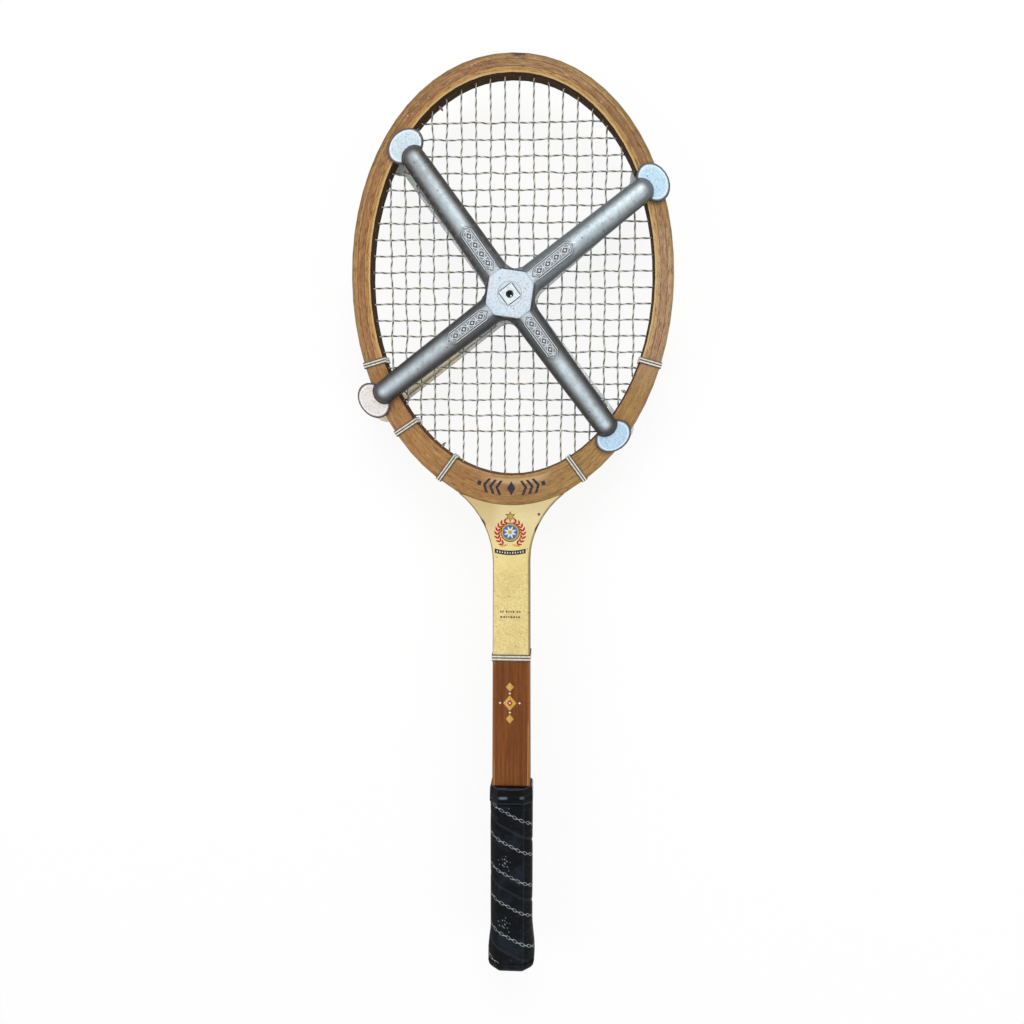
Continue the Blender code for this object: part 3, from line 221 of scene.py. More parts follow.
class Tree:
    def __init__(self, tree):
        self.tree = tree

    def plug(self, socket, value):
        value = value.socket if isinstance(value, Field) else value
        if isinstance(value, bpy.types.NodeSocket):
            self.tree.links.new(value, socket)
        else:
            socket.default_value = value

    def node(self, kind, inputs=None, **settings):
        node = self.tree.nodes.new(kind)
        for key, value in settings.items():
            setattr(node, key, value)
        for key, value in (inputs or {}).items():
            self.plug(node.inputs[key], value)
        return node

    def seenDirectly(self):  # 1 for what the camera, a reflection or a clear pane sees
        path = self.node("ShaderNodeLightPath").outputs
        result = path["Is Camera Ray"]
        for ray in ("Is Glossy Ray", "Is Transmission Ray"):
            result = self.node("ShaderNodeMath", {0: result, 1: path[ray]}, operation="MAXIMUM").outputs[0]
        return result


class Graph(Tree):
    def __init__(self, name):
        self.material = bpy.data.materials.new(name)
        self.material.use_nodes = True
        super().__init__(self.material.node_tree)
        self.shader = self.tree.nodes["Principled BSDF"]
        place = self.make("ShaderNodeTexCoord", output="Object")
        self.axes = [self.split(place, part) * (1 / mm) for part in range(3)]
        self.spot = self.vector(*self.axes)

    def make(self, kind, inputs=None, output=0, **settings):
        return Field(self, self.node(kind, inputs, **settings).outputs[output])

    def split(self, vector, part):
        return self.make("ShaderNodeSeparateXYZ", {0: vector}, output=part)

    def facing(self):
        return self.split(self.make("ShaderNodeNewGeometry", output="Normal"), 2)

    def steep(self, low, high):
        return abs(self.facing()).step(low, high)

    def vector(self, x, y, z):
        return self.make("ShaderNodeCombineXYZ", {0: x, 1: y, 2: z})

    def noiseAt(self, vector, scale, detail=3.0, rough=0.55, bend=0.0):
        inputs = {"Vector": vector, "Scale": scale, "Detail": detail, "Roughness": rough, "Distortion": bend}
        return self.make("ShaderNodeTexNoise", inputs)

    def noise(self, scale, *settings):
        return self.noiseAt(self.spot, scale, *settings)

    def stretched(self, shares, *settings):
        parts = [part * share for part, share in zip(self.axes, shares)]
        return self.noiseAt(self.vector(*parts), 1.0, *settings)

    def cells(self, scale, vector=None):
        return self.make("ShaderNodeTexVoronoi", {"Vector": vector or self.spot, "Scale": scale})

    def mix(self, share, first, second):
        node = self.node("ShaderNodeMix", data_type="RGBA")
        for place, value in ((0, share), (6, first), (7, second)):
            isPaint = isinstance(value, tuple) and len(value) == 3
            self.plug(node.inputs[place], paint(*value) if isPaint else value)
        return Field(self, node.outputs[2])

    def lerp(self, share, first, second):
        return self.make("ShaderNodeMix", {0: share, 2: first, 3: second})

    def coat(self, share, *colour):
        self.colour = self.mix(share, self.colour, colour if len(colour) == 3 else colour[0])

    def attribute(self, name):
        return self.make("ShaderNodeAttribute", output="Fac", attribute_name=name)

    def surface(self, roughness, bump=None, **others):
        self.plug(self.shader.inputs["Base Color"], self.colour)
        self.plug(self.shader.inputs["Roughness"], roughness)
        if bump:
            inputs = {"Height": bump[0], "Distance": bump[1] * mm, "Strength": 1.0}
            self.plug(self.shader.inputs["Normal"], self.make("ShaderNodeBump", inputs))
        for key, value in others.items():
            self.plug(self.shader.inputs[key.replace("_", " ")], value)
        return self.material


meanRadius = 128.0  # of the head, which turns a share of its size into a depth in millimetres


def headDepth(graph, x, y):
    upper = y.step(head["wideY"] - 0.1, head["wideY"] + 0.1)
    height = graph.lerp(upper, head["wideY"] - head["bottomY"], head["length"] - head["wideY"])
    across, along = x / head["halfWidth"], (y - head["wideY"]) / height
    return (1.0 - across.reach(along)) * meanRadius


def woodMaterial(name, look):
    graph = Graph(name)
    x, y, z = graph.axes
    if look["round"]:
        inRim = headDepth(graph, x, y)
        depth = graph.lerp(y.step(360.0, 344.0), inRim, abs(x))
    else:
        depth = x
    level = depth + z * 0.7

    def grain(flat, deep, *settings):
        return graph.noiseAt(graph.vector(x * flat, y * flat, level * deep), 1.0, *settings)

    streaks = grain(0.02, look["fineness"], 5.0, 0.62, 0.4)
    patches = grain(0.03, 0.16)
    dashes = grain(0.15, 0.95, 3.0, 0.7)
    fine = grain(0.4, 2.8, 2.0, 0.6)
    pores = (dashes.step(0.52, 0.64) * 0.9).most(fine.step(0.57, 0.68) * 0.7) * look["pores"]
    graph.colour = graph.mix((streaks - 0.5) * look["contrast"] + 0.5, look["dark"], look["light"])
    graph.coat(patches.step(0.45, 0.75) * look["patch"], look["tinge"])
    graph.coat(x.step(20.0, -70.0) * 0.14, 176, 108, 62)
    below = y.step(480.0, 440.0)
    graph.coat(x.step(-20.0, 70.0) * below * 0.22, 146, 126, 74)
    rosy = x.step(60.0, 105.0) * y.step(590.0, 550.0) * (1.0 - below)
    graph.coat(rosy * 0.3, 194, 166, 142)
    graph.coat(y.step(560.0, 640.0) * 0.2, 138, 104, 56)
    graph.coat(pores, look["pore"])
    graph.coat(dashes.step(0.45, 0.3) * 0.35, 214, 180, 128)
    if look["round"]:
        # darker in patches along the outer edge of the head, from about y 420 upward
        outerEdgeDark = depth.step(2.8, 0.2) * y.step(410.0, 430.0) * (patches * 0.7 + 0.3)
        graph.coat(outerEdgeDark * 0.6, 92, 68, 36)
        arc = abs(x - 4.0).step(30.0, 14.0) * y.step(410.0, 400.0)
        sheen = abs(inRim - 13.6).step(2.4, 0.8) * arc
        graph.coat(sheen * (dashes * 0.5 + 0.2), 216, 186, 146)
    specks = graph.cells(0.42)
    place = abs(x + 74.0).step(42.0, 16.0) * (y - 640.0).step(-32.0, 0.0)
    chip = specks.step(0.2, 0.1) * (patches.step(0.5, 0.56) * place).most(patches.step(0.62, 0.68) * 0.8)
    graph.coat(chip * look["specks"], 226, 214, 190)
    gloss = 0.15
    rough = patches * 0.2 + look["rough"]
    # the inner wall is painted dark brown, partly stain and partly painted shade, lighter towards the bottom
    # of the head
    if look["wall"]:
        wall = graph.steep(0.8, 0.35)
        wallShadeNoise = graph.stretched((0.1, 0.1, 0.3))
        deep = graph.mix(y.step(450.0, 400.0), look["wall"], (98, 66, 38))
        graph.coat(wall * (wallShadeNoise * 0.2 + 0.84), deep)
        # painted highlight along the rounded edges of the inner ply
        crestHighlight = graph.steep(0.55, 0.8) * graph.steep(0.99, 0.93)
        graph.coat(crestHighlight * 0.55, 224, 194, 138)
        gloss = (1.0 - wall) * 0.15
        rough = rough + wall * 0.4
    shaded = (y - 352.0).step(6.0, -6.0) * graph.steep(0.7, 0.3)
    graph.coat(shaded * x.step(-5.0, 5.0) * 0.8, 52, 34, 22)
    if look["tip"]:
        aside, below, under = x - 5.0, y - 685.0, z - 9.5
        away = (aside * aside / 26.0 + below * below / 7.0 + under * under / 12.0).root()
        dent = (away + graph.noise(0.8) * 1.4).step(2.1, 1.3)
        graph.coat(dent * 0.85, 40, 28, 20)
    height = streaks * 0.35 - pores * 0.6
    others = {"Coat_Weight": gloss, "Coat_Roughness": 0.3, "Specular_IOR_Level": look["shine"]}
    return graph.surface(rough, (height, 0.14), **others)


def overlayMaterial(name):
    graph = Graph(name)
    x, y = graph.axes[:2]
    cloud = graph.noise(0.05, 4.0, 0.6)
    mottle = graph.noise(0.55, 5.0, 0.7)
    fine = graph.noise(1.3, 3.0, 0.7)
    speck = graph.cells(0.12)
    lower = y.step(330.0, 305.0) * 0.7 + 0.3
    graph.colour = graph.mix(cloud.step(0.35, 0.7), (238, 218, 150), (228, 206, 138))
    worn = mottle.step(0.42, 0.64) * lower
    graph.coat(worn * 0.5, 186, 164, 108)
    graph.coat(fine.step(0.5, 0.68) * lower * 0.5, 160, 138, 90)
    middle = abs(x).step(9.0, 3.0) * y.step(322.0, 300.0)
    graph.coat(middle * cloud.step(0.3, 0.6) * 0.3, 196, 176, 118)
    graph.coat(y.step(330.0, 352.0) * (cloud * 0.4 + 0.25), 212, 200, 166)
    edge = (y - 358.0 + mottle * 14.0).step(4.0, 18.0)
    graph.coat(edge * 0.3, 186, 162, 114)
    stain = (y - 346.0 - x * 0.4 + cloud * 24.0).step(12.0, 30.0) * x.step(-6.0, -16.0)
    graph.coat(stain * 0.35, 176, 140, 84)
    graph.coat(speck.step(0.09, 0.04) * 0.75, 96, 72, 40)
    side = abs(x)
    arc = (side - shoulderX).reach(y - shoulderY) - shoulderRadius
    straight = bow["shaftHalfWidth"] + (shoulderY - y).most(0.0) * 0.009 - side
    inward = graph.lerp(y.step(shoulderY - 0.5, shoulderY + 0.5), straight, arc)
    line = inward.step(1.0, 0.25).most((inward + fine * 0.8).step(2.2, 1.2) * x.step(0.0, 2.0) * 0.75)
    graph.coat(line * 0.8, 78, 56, 34)
    blot = ((x - 20.4).reach(y - 360.6) + fine * 0.8).step(1.7, 1.2)
    for side, level in ((1, 350.5), (-1, 354.5)):
        away = (y - level) / 3.4
        chip = (inward + away * away + fine * 0.8).step(2.2, 1.5) * (x * side).step(0.0, 1.0)
        blot = blot.most(chip)
    graph.coat(blot * 0.9, 56, 38, 24)
    graph.coat(graph.steep(0.8, 0.4), 60, 40, 24)
    return graph.surface(mottle * 0.2 + 0.36, (mottle + fine * 0.5, 0.06), Specular_IOR_Level=0.25)


def veneerMaterial(name):
    graph = Graph(name)
    x, y = graph.axes[:2]
    streaks = graph.stretched((0.7, 0.02, 1.0), 5.0, 0.6, 0.3)
    dashes = graph.stretched((3.0, 0.2, 1.0), 2.0, 0.6)
    cloud = graph.stretched((0.1, 0.03, 1.0), 2.0)
    graph.colour = graph.mix(streaks.step(0.25, 0.75), (98, 50, 18), (132, 76, 32))
    graph.coat(cloud.step(0.4, 0.7) * 0.5, 104, 52, 18)
    graph.coat(dashes.step(0.54, 0.7) * 0.5, 66, 32, 14)
    side = abs(x).step(11.5, 13.8)
    graph.coat(side * 0.4, 168, 108, 58)
    scuff = graph.stretched((0.8, 0.3, 1.0), 4.0, 0.7).step(0.62, 0.72)
    corner = (x + 12.5).step(5.0, 0.0) * (y - 236.0).step(0.0, 8.0)
    graph.coat(scuff * corner * 0.8, 196, 170, 138)
    scratch = abs(y - 218.0 + x * 0.12).step(0.4, 0.1) * dashes.step(0.4, 0.6)
    graph.coat(scratch * 0.6, 52, 26, 12)
    ply = abs(x - 12.9 - (y - 190.0) * 0.004).step(0.34, 0.18) * y.step(205.0, 196.0)
    leftPly = abs(x + 12.9).step(0.3, 0.15) * y.step(176.0, 166.0)
    graph.coat(ply.most(leftPly) * 0.7, 196, 150, 98)
    relief = streaks - dashes * 0.5
    return graph.surface(streaks * 0.15 + 0.36, (relief, 0.06), Coat_Weight=0.1, Specular_IOR_Level=0.15)


def bandMaterial(name, centre, along, half):
    graph = Graph(name)
    x, y = graph.axes[:2]
    offset = abs((x - centre[0]) * along[0] + (y - centre[1]) * along[1])
    worn = graph.noise(0.5, 4.0, 0.7)
    graph.colour = graph.mix(worn.step(0.35, 0.75), (232, 226, 208), (184, 174, 148))
    line = offset.step(half - 0.92, half - 0.74).most(offset.step(0.58, 0.4))
    graph.coat(line * (worn * 0.3 + 0.8), 34, 31, 34)
    height = abs(offset - half / 2) * -1.0
    return graph.surface(worn * 0.2 + 0.32, (height, 0.2), Coat_Weight=0.2)


motif = {"start": 18.6, "end": 56.0, "taperFrom": 51.0, "halfWidth": 4.7, "pitch": 7.4}


def pressMaterial(name, facing):
    graph = Graph(name)
    x, y, z = graph.axes
    turn = press["turn"] + (0.0 if facing > 0 else press["rearTwist"])
    right, up = x - press["x"], y - press["y"]
    up = up.least(0.0) + up.most(0.0) / press["upperStretch"]
    u = right * math.cos(turn) + up * math.sin(turn)
    v = up * math.cos(turn) - right * math.sin(turn)
    along, across = abs(u).most(abs(v)), abs(u).least(abs(v))
    height = z * facing - press["face"]
    grain = graph.noise(1.6, 3.0, 0.7)
    cast = graph.noise(0.35, 4.0, 0.6)
    cloud = graph.noise(0.05, 2.0)
    tilt = (graph.facing() * facing).most(0.0)
    shrink = (press["armAtHub"] - press["armAtEnd"]) / press["footCentre"]
    aside = across / (press["armAtHub"] - along * shrink)
    onward = (along - press["roundStart"]).most(0.0) / press["armAtEnd"]
    round2 = (aside * aside + onward * onward).least(1.0)
    low, east = up.step(20.0, -20.0), right.step(-20.0, 20.0)
    # The arms are painted light along the crest and dark on the flanks, a painted highlight and painted
    # shade, brighter on the upper-right arm and dimmer towards the upper-left foot.
    crestHighlight = ((1.0 - round2) ** 4.2) * tilt
    patch = graph.noise(0.045, 3.0, 0.6)
    bright = east * (1.0 - low)
    wobble = 0.72 + patch.step(0.38, 0.62) * 0.2 + bright * 0.1
    wobble = wobble - (1.0 - low.most(east)) * along.step(80.0, 112.0) * 0.3
    flankShade = graph.mix(bright * 0.85, (52, 51, 51), (100, 108, 112))
    graph.colour = graph.mix(crestHighlight * wobble, flankShade, (190, 202, 209))
    # a thin painted highlight along the middle of each crest, stronger on the right
    crestGlint = ((1.0 - round2) ** 16.0) * tilt * graph.noise(0.12, 3.0, 0.6).step(0.36, 0.62)
    graph.coat(crestGlint * (east * 0.35 + 0.25), 206, 228, 238)
    graph.coat(((grain - 0.48) * 2.4).most(0.0) * crestHighlight, 112, 116, 120)
    graph.coat(cast.step(0.5, 0.66) * crestHighlight * 0.35, 136, 132, 120)
    patina = graph.mix(low.most(east), (122, 110, 92), (88, 82, 74))
    graph.coat(cast.step(0.48, 0.68) * (1.0 - crestHighlight) * 0.5, patina)
    flat = tilt.step(0.93, 0.985)
    top = (height - 12.0).step(0.0, 1.3) * tilt.step(0.25, 0.9)
    foot = flat * (height - 3.3).step(0.2, -0.2)
    # The flat hub and foot tops are painted pale blue-white, with tints that differ from foot to foot as
    # painted reflections of the surroundings.
    pale = graph.mix((cloud - 0.5) * 2.0 + 0.5, (196, 216, 230), (216, 219, 224))
    west = graph.mix(low, (202, 218, 228), (228, 220, 214))
    footReflection = graph.mix(east, west, graph.mix(low, (184, 216, 236), (178, 210, 232)))
    pale = graph.mix(foot, pale, footReflection)
    stipple = graph.noise(0.85, 2.0, 0.8)
    pale = graph.mix(stipple.step(0.52, 0.66) * 0.5, pale, (130, 144, 156))
    pale = graph.mix(stipple.step(0.46, 0.34) * 0.4, pale, (236, 242, 246))
    graph.coat(top.most(foot), pale)
    edgeX, edgeY = (along - press["footCentre"]) / press["footLength"], across / press["footWidth"]
    edge = edgeX.reach(edgeY)
    shine = abs(edge - 0.81).step(0.05, 0.02) * aside.step(0.9, 1.1).most((along - 122.0).step(0.0, 1.0))
    graph.coat(foot * shine * 0.5, 240, 246, 250)
    border = edge.step(0.85, 0.9) * (height - 3.5).step(0.3, -0.3)
    graph.coat(border * 0.9, 64, 62, 64)
    # The inward faces are painted near-white as painted light where they lie in the shade of the arms, with
    # a cream tint towards the lower left.
    inside = (graph.facing() * -facing).step(0.3, 0.8)
    warm = (x + 20.0).step(0.0, -30.0) * (y - 518.0).step(0.0, -20.0)
    graph.coat(inside, graph.mix(warm, (240, 246, 248), (250, 240, 212)))
    ring = abs(u.reach(v) - 8.4).step(0.34, 0.12) * top
    graph.coat(ring * 0.5, 112, 120, 130)
    pits = graph.cells(0.14).step(0.08, 0.045)
    graph.coat(pits * 0.8, 44, 42, 42)
    relief = cast * 0.5 + grain * 0.3 - pits * 1.5 - ring * 0.5
    if facing > 0:
        field = (height - 11.0).step(0.0, 0.3)
        taper = (along - motif["taperFrom"]).most(0.0) * 0.82
        ends = (motif["end"] - along).least(along - motif["start"])
        inner = (motif["halfWidth"] - taper).least(ends) - across
        outline = abs(inner - 0.45).step(0.42, 0.24)
        gap = abs(inner - 1.1).step(0.4, 0.2)
        second = abs(inner - 1.75).step(0.34, 0.18)
        link = (along * (1 / motif["pitch"])).fract() * motif["pitch"] - motif["pitch"] / 2
        lozenge = abs(link) * 0.8 + across
        diamond = abs(lozenge - 2.5).step(0.5, 0.3)
        heart = lozenge.step(2.1, 1.9)
        dot = link.reach(across).step(0.95, 0.7)
        bar = abs(abs(link) - motif["pitch"] / 2).step(0.45, 0.28) * across.step(2.6, 2.4)
        inMotif = (inner - 2.0).step(0.0, 0.1)
        pattern = diamond.most(dot).most(bar) * inMotif
        lines = outline.most(second).most(pattern) * field * inner.step(0.0, 0.1)
        # the gap inside the outline and the hearts are painted dark as painted shade in the recesses
        sunkShade = gap.most(heart * inMotif) * field * (1.0 - lines)
        shade = field * inner.step(0.0, 0.2)
        graph.coat(shade * 0.85, 116, 120, 123)
        graph.coat(sunkShade * 0.8, 62, 62, 64)
        graph.coat(lines * 0.9, 206, 214, 220)
        relief = relief + lines * 1.6 - sunkShade * 0.5
    rough = 0.42 + (cast - 0.5) * 0.2 + top.most(foot) * 0.2
    return graph.surface(rough, (relief, 0.25), Metallic=(1.0 - top.most(foot).most(inside)) * 0.4)


def metalMaterial(name, colour, dark, rough, metallic=0.8, shadedBoreEnd=False):
    graph = Graph(name)
    x, y, z = graph.axes
    worn = graph.noise(0.6, 4.0, 0.65)
    brushed = graph.stretched((4.0, 0.4, 4.0), 3.0, 0.6)
    graph.colour = graph.mix(worn.step(0.4, 0.75) * 0.7, colour, dark)
    if shadedBoreEnd:
        # The screw's end, sunk in the bore, is painted near-black as painted shade, with a painted glint at
        # its lower right.
        end = z.step(9.0, 11.0) * graph.facing().step(0.5, 0.8)
        graph.coat(end, 8, 8, 9)
        glint = (x - press["x"] - 0.9).reach(y - press["y"] + 1.1).step(0.75, 0.45) * end
        graph.coat(glint * 0.85, 226, 232, 236)
    return graph.surface(brushed * 0.2 + rough, (brushed * 0.3 + worn, 0.05), Metallic=metallic)


def rubberMaterial(name):
    graph = Graph(name)
    x, y, z = graph.axes
    waves = graph.stretched((0.12, 0.5, 0.12), 2.0)
    dust = graph.noise(1.2, 4.0, 0.7).step(0.62, 0.78)
    # lighter bluish bands painted on the black rubber as a sheen
    sheenBands = graph.stretched((0.07, 0.55, 0.07), 2.0, 0.5, 0.6)
    graph.colour = graph.mix(sheenBands.step(0.5, 0.64), (3, 4, 7), (13, 18, 26))
    # painted highlights along the collar's top and bottom lips
    lipHighlight = abs(y - 149.6 + abs(x) * -0.05).step(0.55, 0.2).most(abs(y - 138.6).step(0.5, 0.2) * 0.5)
    graph.coat(lipHighlight * 0.28, 84, 98, 112)
    glints = graph.cells(0.22, graph.vector(x * 0.6, y * 0.8, z)).step(0.12, 0.05) * sheenBands.step(0.45, 0.55)
    graph.coat(glints * 0.4, 150, 164, 176)
    bend = abs(y - 143.2 - x * 0.03).step(1.6, 0.3)
    sheen = bend * abs(x + 6.0).step(4.5, 1.5).most(abs(x - 8.5).step(2.4, 0.6) * 0.6)
    graph.coat(sheen * (sheenBands * 0.5 + 0.4), 118, 138, 156)
    graph.coat(dust * 0.15, 40, 48, 58)
    return graph.surface(dust * 0.3 + 0.14, (waves, 0.4), Specular_IOR_Level=0.1)


def stringMaterial(name):
    graph = Graph(name)
    tone = graph.noise(0.06, 2.0)
    wear = graph.noise(0.6, 3.0, 0.6)
    graph.colour = graph.mix(tone.step(0.35, 0.65), (206, 200, 180), (206, 208, 206))
    # painted shade in the grooves of the twist
    grooveShade = graph.attribute("groove").step(0.42, 0.7)
    graph.coat(grooveShade * (wear.step(0.25, 0.5) * 0.4 + 0.6), 56, 62, 70)
    return graph.surface(wear * 0.2 + 0.35, (wear, 0.04), Specular_IOR_Level=0.3)


chain = {"offset": 12.5, "pitch": 6.3, "length": 1.9, "width": 1.15}


def leatherMaterial(name, strip):
    graph = Graph(name)
    x = graph.axes[0]
    pebble = graph.cells(1.3)
    crease = graph.stretched((0.1, 0.25, 0.1), 5.0, 0.65, 0.8)
    cloud = graph.noise(0.06, 3.0)
    graph.colour = graph.mix(cloud.step(0.4, 0.7), (5, 6, 8), (13, 15, 18))
    graph.coat(crease.step(0.5, 0.72) * 0.4, 36, 40, 46)
    # The front facet is painted lighter, and a line along the right facet edge is painted as a highlight.
    graph.coat(graph.steep(0.9, 0.99) * 0.2, 22, 26, 31)
    graph.coat(cloud.step(0.48, 0.62) * abs(x).step(11.0, 9.0) * 0.5, 34, 41, 50)
    graph.coat(abs(x - 9.8).step(0.9, 0.2) * 0.35, 46, 52, 60)
    dust = graph.cells(0.3).step(0.09, 0.05)
    graph.coat(dust * 0.6, 110, 114, 120)
    relief = pebble * 0.2 + crease * 1.2
    if strip:
        turn, across = graph.attribute("turn"), graph.attribute("across")
        along = turn * grip["turnLength"]
        beside = abs(across) - chain["offset"]
        phase = (along * (1 / chain["pitch"])).fract() * chain["pitch"] - chain["pitch"] / 2
        ring = abs((phase / chain["length"]).reach(beside / chain["width"]) - 1.0).step(0.26, 0.1)
        bar = (abs(phase) - chain["length"]).step(0.0, 0.2) * abs(beside).step(0.36, 0.18)
        bead = (abs(phase) - chain["pitch"] / 2).reach(beside).step(0.6, 0.35)
        links = ring.most(bar).most(bead)
        faded = graph.noise(0.3, 3.0, 0.6).step(0.3, 0.6) * 0.5 + 0.3
        graph.coat(links * faded, 178, 182, 184)
        spin = ((turn + 0.2).fract() - 0.5) * grip["turnLength"]
        aside = across + 3.5
        dots = None
        for reach, count, size in ((0.0, 1, 0.75), (3.1, 6, 0.5), (5.9, 5, 0.4)):
            for k in range(count):
                angle = 2 * math.pi * k / count + 0.4 * math.sin(2.3 * k + reach)
                away = (aside - reach * math.cos(angle)).reach(spin - reach * math.sin(angle))
                dot = away.step(size + 0.3, size - 0.1)
                dots = dot if dots is None else dots.most(dot)
        broken = graph.noise(0.4, 2.0).step(0.35, 0.6) * 0.5 + 0.4
        graph.coat(dots * broken, 150, 154, 158)
        # painted highlight along the strip's skived edges at the seams
        seamHighlight = abs(across).step(grip["lead"] / 2 - 1.6, grip["lead"] / 2 - 0.6)
        graph.coat(seamHighlight * 0.25, 64, 70, 78)
        relief = relief - dots * 1.5 + links * 0.3
    return graph.surface(cloud * 0.15 + 0.48, (relief, 0.35), Specular_IOR_Level=0.07)


def plainMaterial(name, colour, dark, rough, scale=0.6, **others):
    graph = Graph(name)
    worn = graph.noise(scale, 4.0, 0.65)
    graph.colour = graph.mix(worn.step(0.45, 0.8), colour, dark)
    return graph.surface(worn * 0.2 + rough, (worn, 0.03), **others)


# Materials of the CAD nodes

frameLook = {"light": (194, 156, 98), "dark": (118, 84, 42), "tinge": (146, 102, 60)}
frameLook.update({"pore": (82, 54, 28), "pores": 0.75, "fineness": 0.55, "contrast": 1.6, "specks": 0.9})
frameLook.update({"patch": 0.5, "round": True, "wall": None, "tip": True, "rough": 0.36, "shine": 0.2})
coreLook = dict(frameLook, light=(176, 134, 90), dark=(110, 74, 42), patch=0.6)
coreLook["tinge"] = (134, 86, 54)
innerLook = dict(frameLook, light=(208, 166, 102), dark=(146, 104, 54), patch=0.3)
# the inner wall's dark brown is partly stain and partly painted shade
innerLook.update({"wall": (46, 30, 17), "specks": 0.4, "shine": 0.1})
bridgeLook = dict(frameLook, light=(184, 142, 88), dark=(124, 86, 46), contrast=1.5)
bridgeLook.update({"specks": 0.0, "tip": False, "pores": 0.5})
throatLook = dict(frameLook, light=(140, 92, 50), dark=(92, 56, 28), round=False)
throatLook.update({"specks": 0.0, "tip": False})

looks = {
    "bow_outer_ply": woodMaterial("outerWood", frameLook),
    "bow_core_ply": woodMaterial("coreWood", coreLook),
    "head_inner_ply": woodMaterial("innerWood", innerLook),
    "throat_bridge": woodMaterial("bridgeWood", bridgeLook),
    "butt_cap": leatherMaterial("capLeather", False),
    "grip_collar": rubberMaterial("collarRubber"),
    "press_front_casting": pressMaterial("frontCasting", 1),
    "press_rear_casting": pressMaterial("rearCasting", -1),
    "square_nut": metalMaterial("nutSteel", (210, 221, 226), (164, 170, 172), 0.34, 0.5),
    "wing_screw": metalMaterial("screwSteel", (176, 178, 178), (110, 108, 104), 0.32, 0.7, True),
    "screw_washer": metalMaterial("washerSteel", (184, 184, 182), (120, 118, 112), 0.3),
}
throatWood = woodMaterial("throatWood", throatLook)
cream = overlayMaterial("creamFibre")
mahogany = veneerMaterial("mahogany")
for node in ("throat_wedge", "shaft_spline", "butt_flare_left", "butt_flare_right"):
    looks[node] = throatWood
for side in ("front", "back"):
    looks[f"handle_pallet_{side}"] = throatWood
    looks[f"throat_overlay_{side}"] = cream
    looks[f"shaft_veneer_{side}"] = mahogany
    looks[f"shoulder_veneer_{side}"] = woodMaterial("shoulderWood" + side.capitalize(), bridgeLook)


def bandAngles():
    return {
        "high": (angleAtY(rows[4]) + angleAtY(rows[5])) / 2,
        "middle": (angleAtX(rightColumns[6], -1) + angleAtY(rows[1])) / 2,
        "low": (angleAtX(rightColumns[3], -1) + angleAtX(rightColumns[4], -1)) / 2,
    }


for name, angle in bandAngles().items():
    x, y, inX, inY = rimPoint(angle)
    for sideName, side in (("right", 1), ("left", -1)):
        node = f"rim_band_{name}_{sideName}"
        if node in nodes:
            looks[node] = bandMaterial(node + "_look", (side * x, y), (-inY, side * inX), 2.25)
looks["shaft_band"] = bandMaterial("shaftBandLook", (0.0, 251.5), (0.0, 1.0), 2.5)

for node, material in looks.items():
    mesh = nodes[node].data
    mesh.materials.clear()
    mesh.materials.append(material)
print("materials on CAD nodes:", len(looks))


# Making pieces

def scaled(points):
    return [tuple(value * mm for value in point) for point in points]


def put(made):
    bpy.context.scene.collection.objects.link(made)
    return made


def link(name, mesh, materials, body, slot):
    made = put(bpy.data.objects.new(name, mesh))
    for material in materials:
        mesh.materials.append(material)
    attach(made, body)
    return made


def evaluated(holder, name):
    bpy.context.view_layer.update()
    ready = holder.evaluated_get(bpy.context.evaluated_depsgraph_get())
    mesh = bpy.data.meshes.new_from_object(ready)
    mesh.name = name
    bpy.data.objects.remove(holder, do_unlink=True)
    return mesh


def addSides(mesh, low, high):
    for i in range(len(low)):
        j = (i + 1) % len(low)
        mesh.faces.new((low[i], low[j], high[j], high[i]))


def closed(mesh, name):
    bmesh.ops.recalc_face_normals(mesh, faces=mesh.faces)
    data = bpy.data.meshes.new(name)
    mesh.to_mesh(data)
    mesh.free()
    return data


# Twisted strings, made by a node tree that follows a path

gutLook = {"radius": 0.72, "turnsPerMetre": 70.0, "step": 1.1}
knotLook = {"radius": 0.5, "turnsPerMetre": 160.0, "step": 0.5}
knot = {"turns": 3, "pointsPerTurn": 8, "start": 0.2, "length": 1.3, "radius": 0.75}


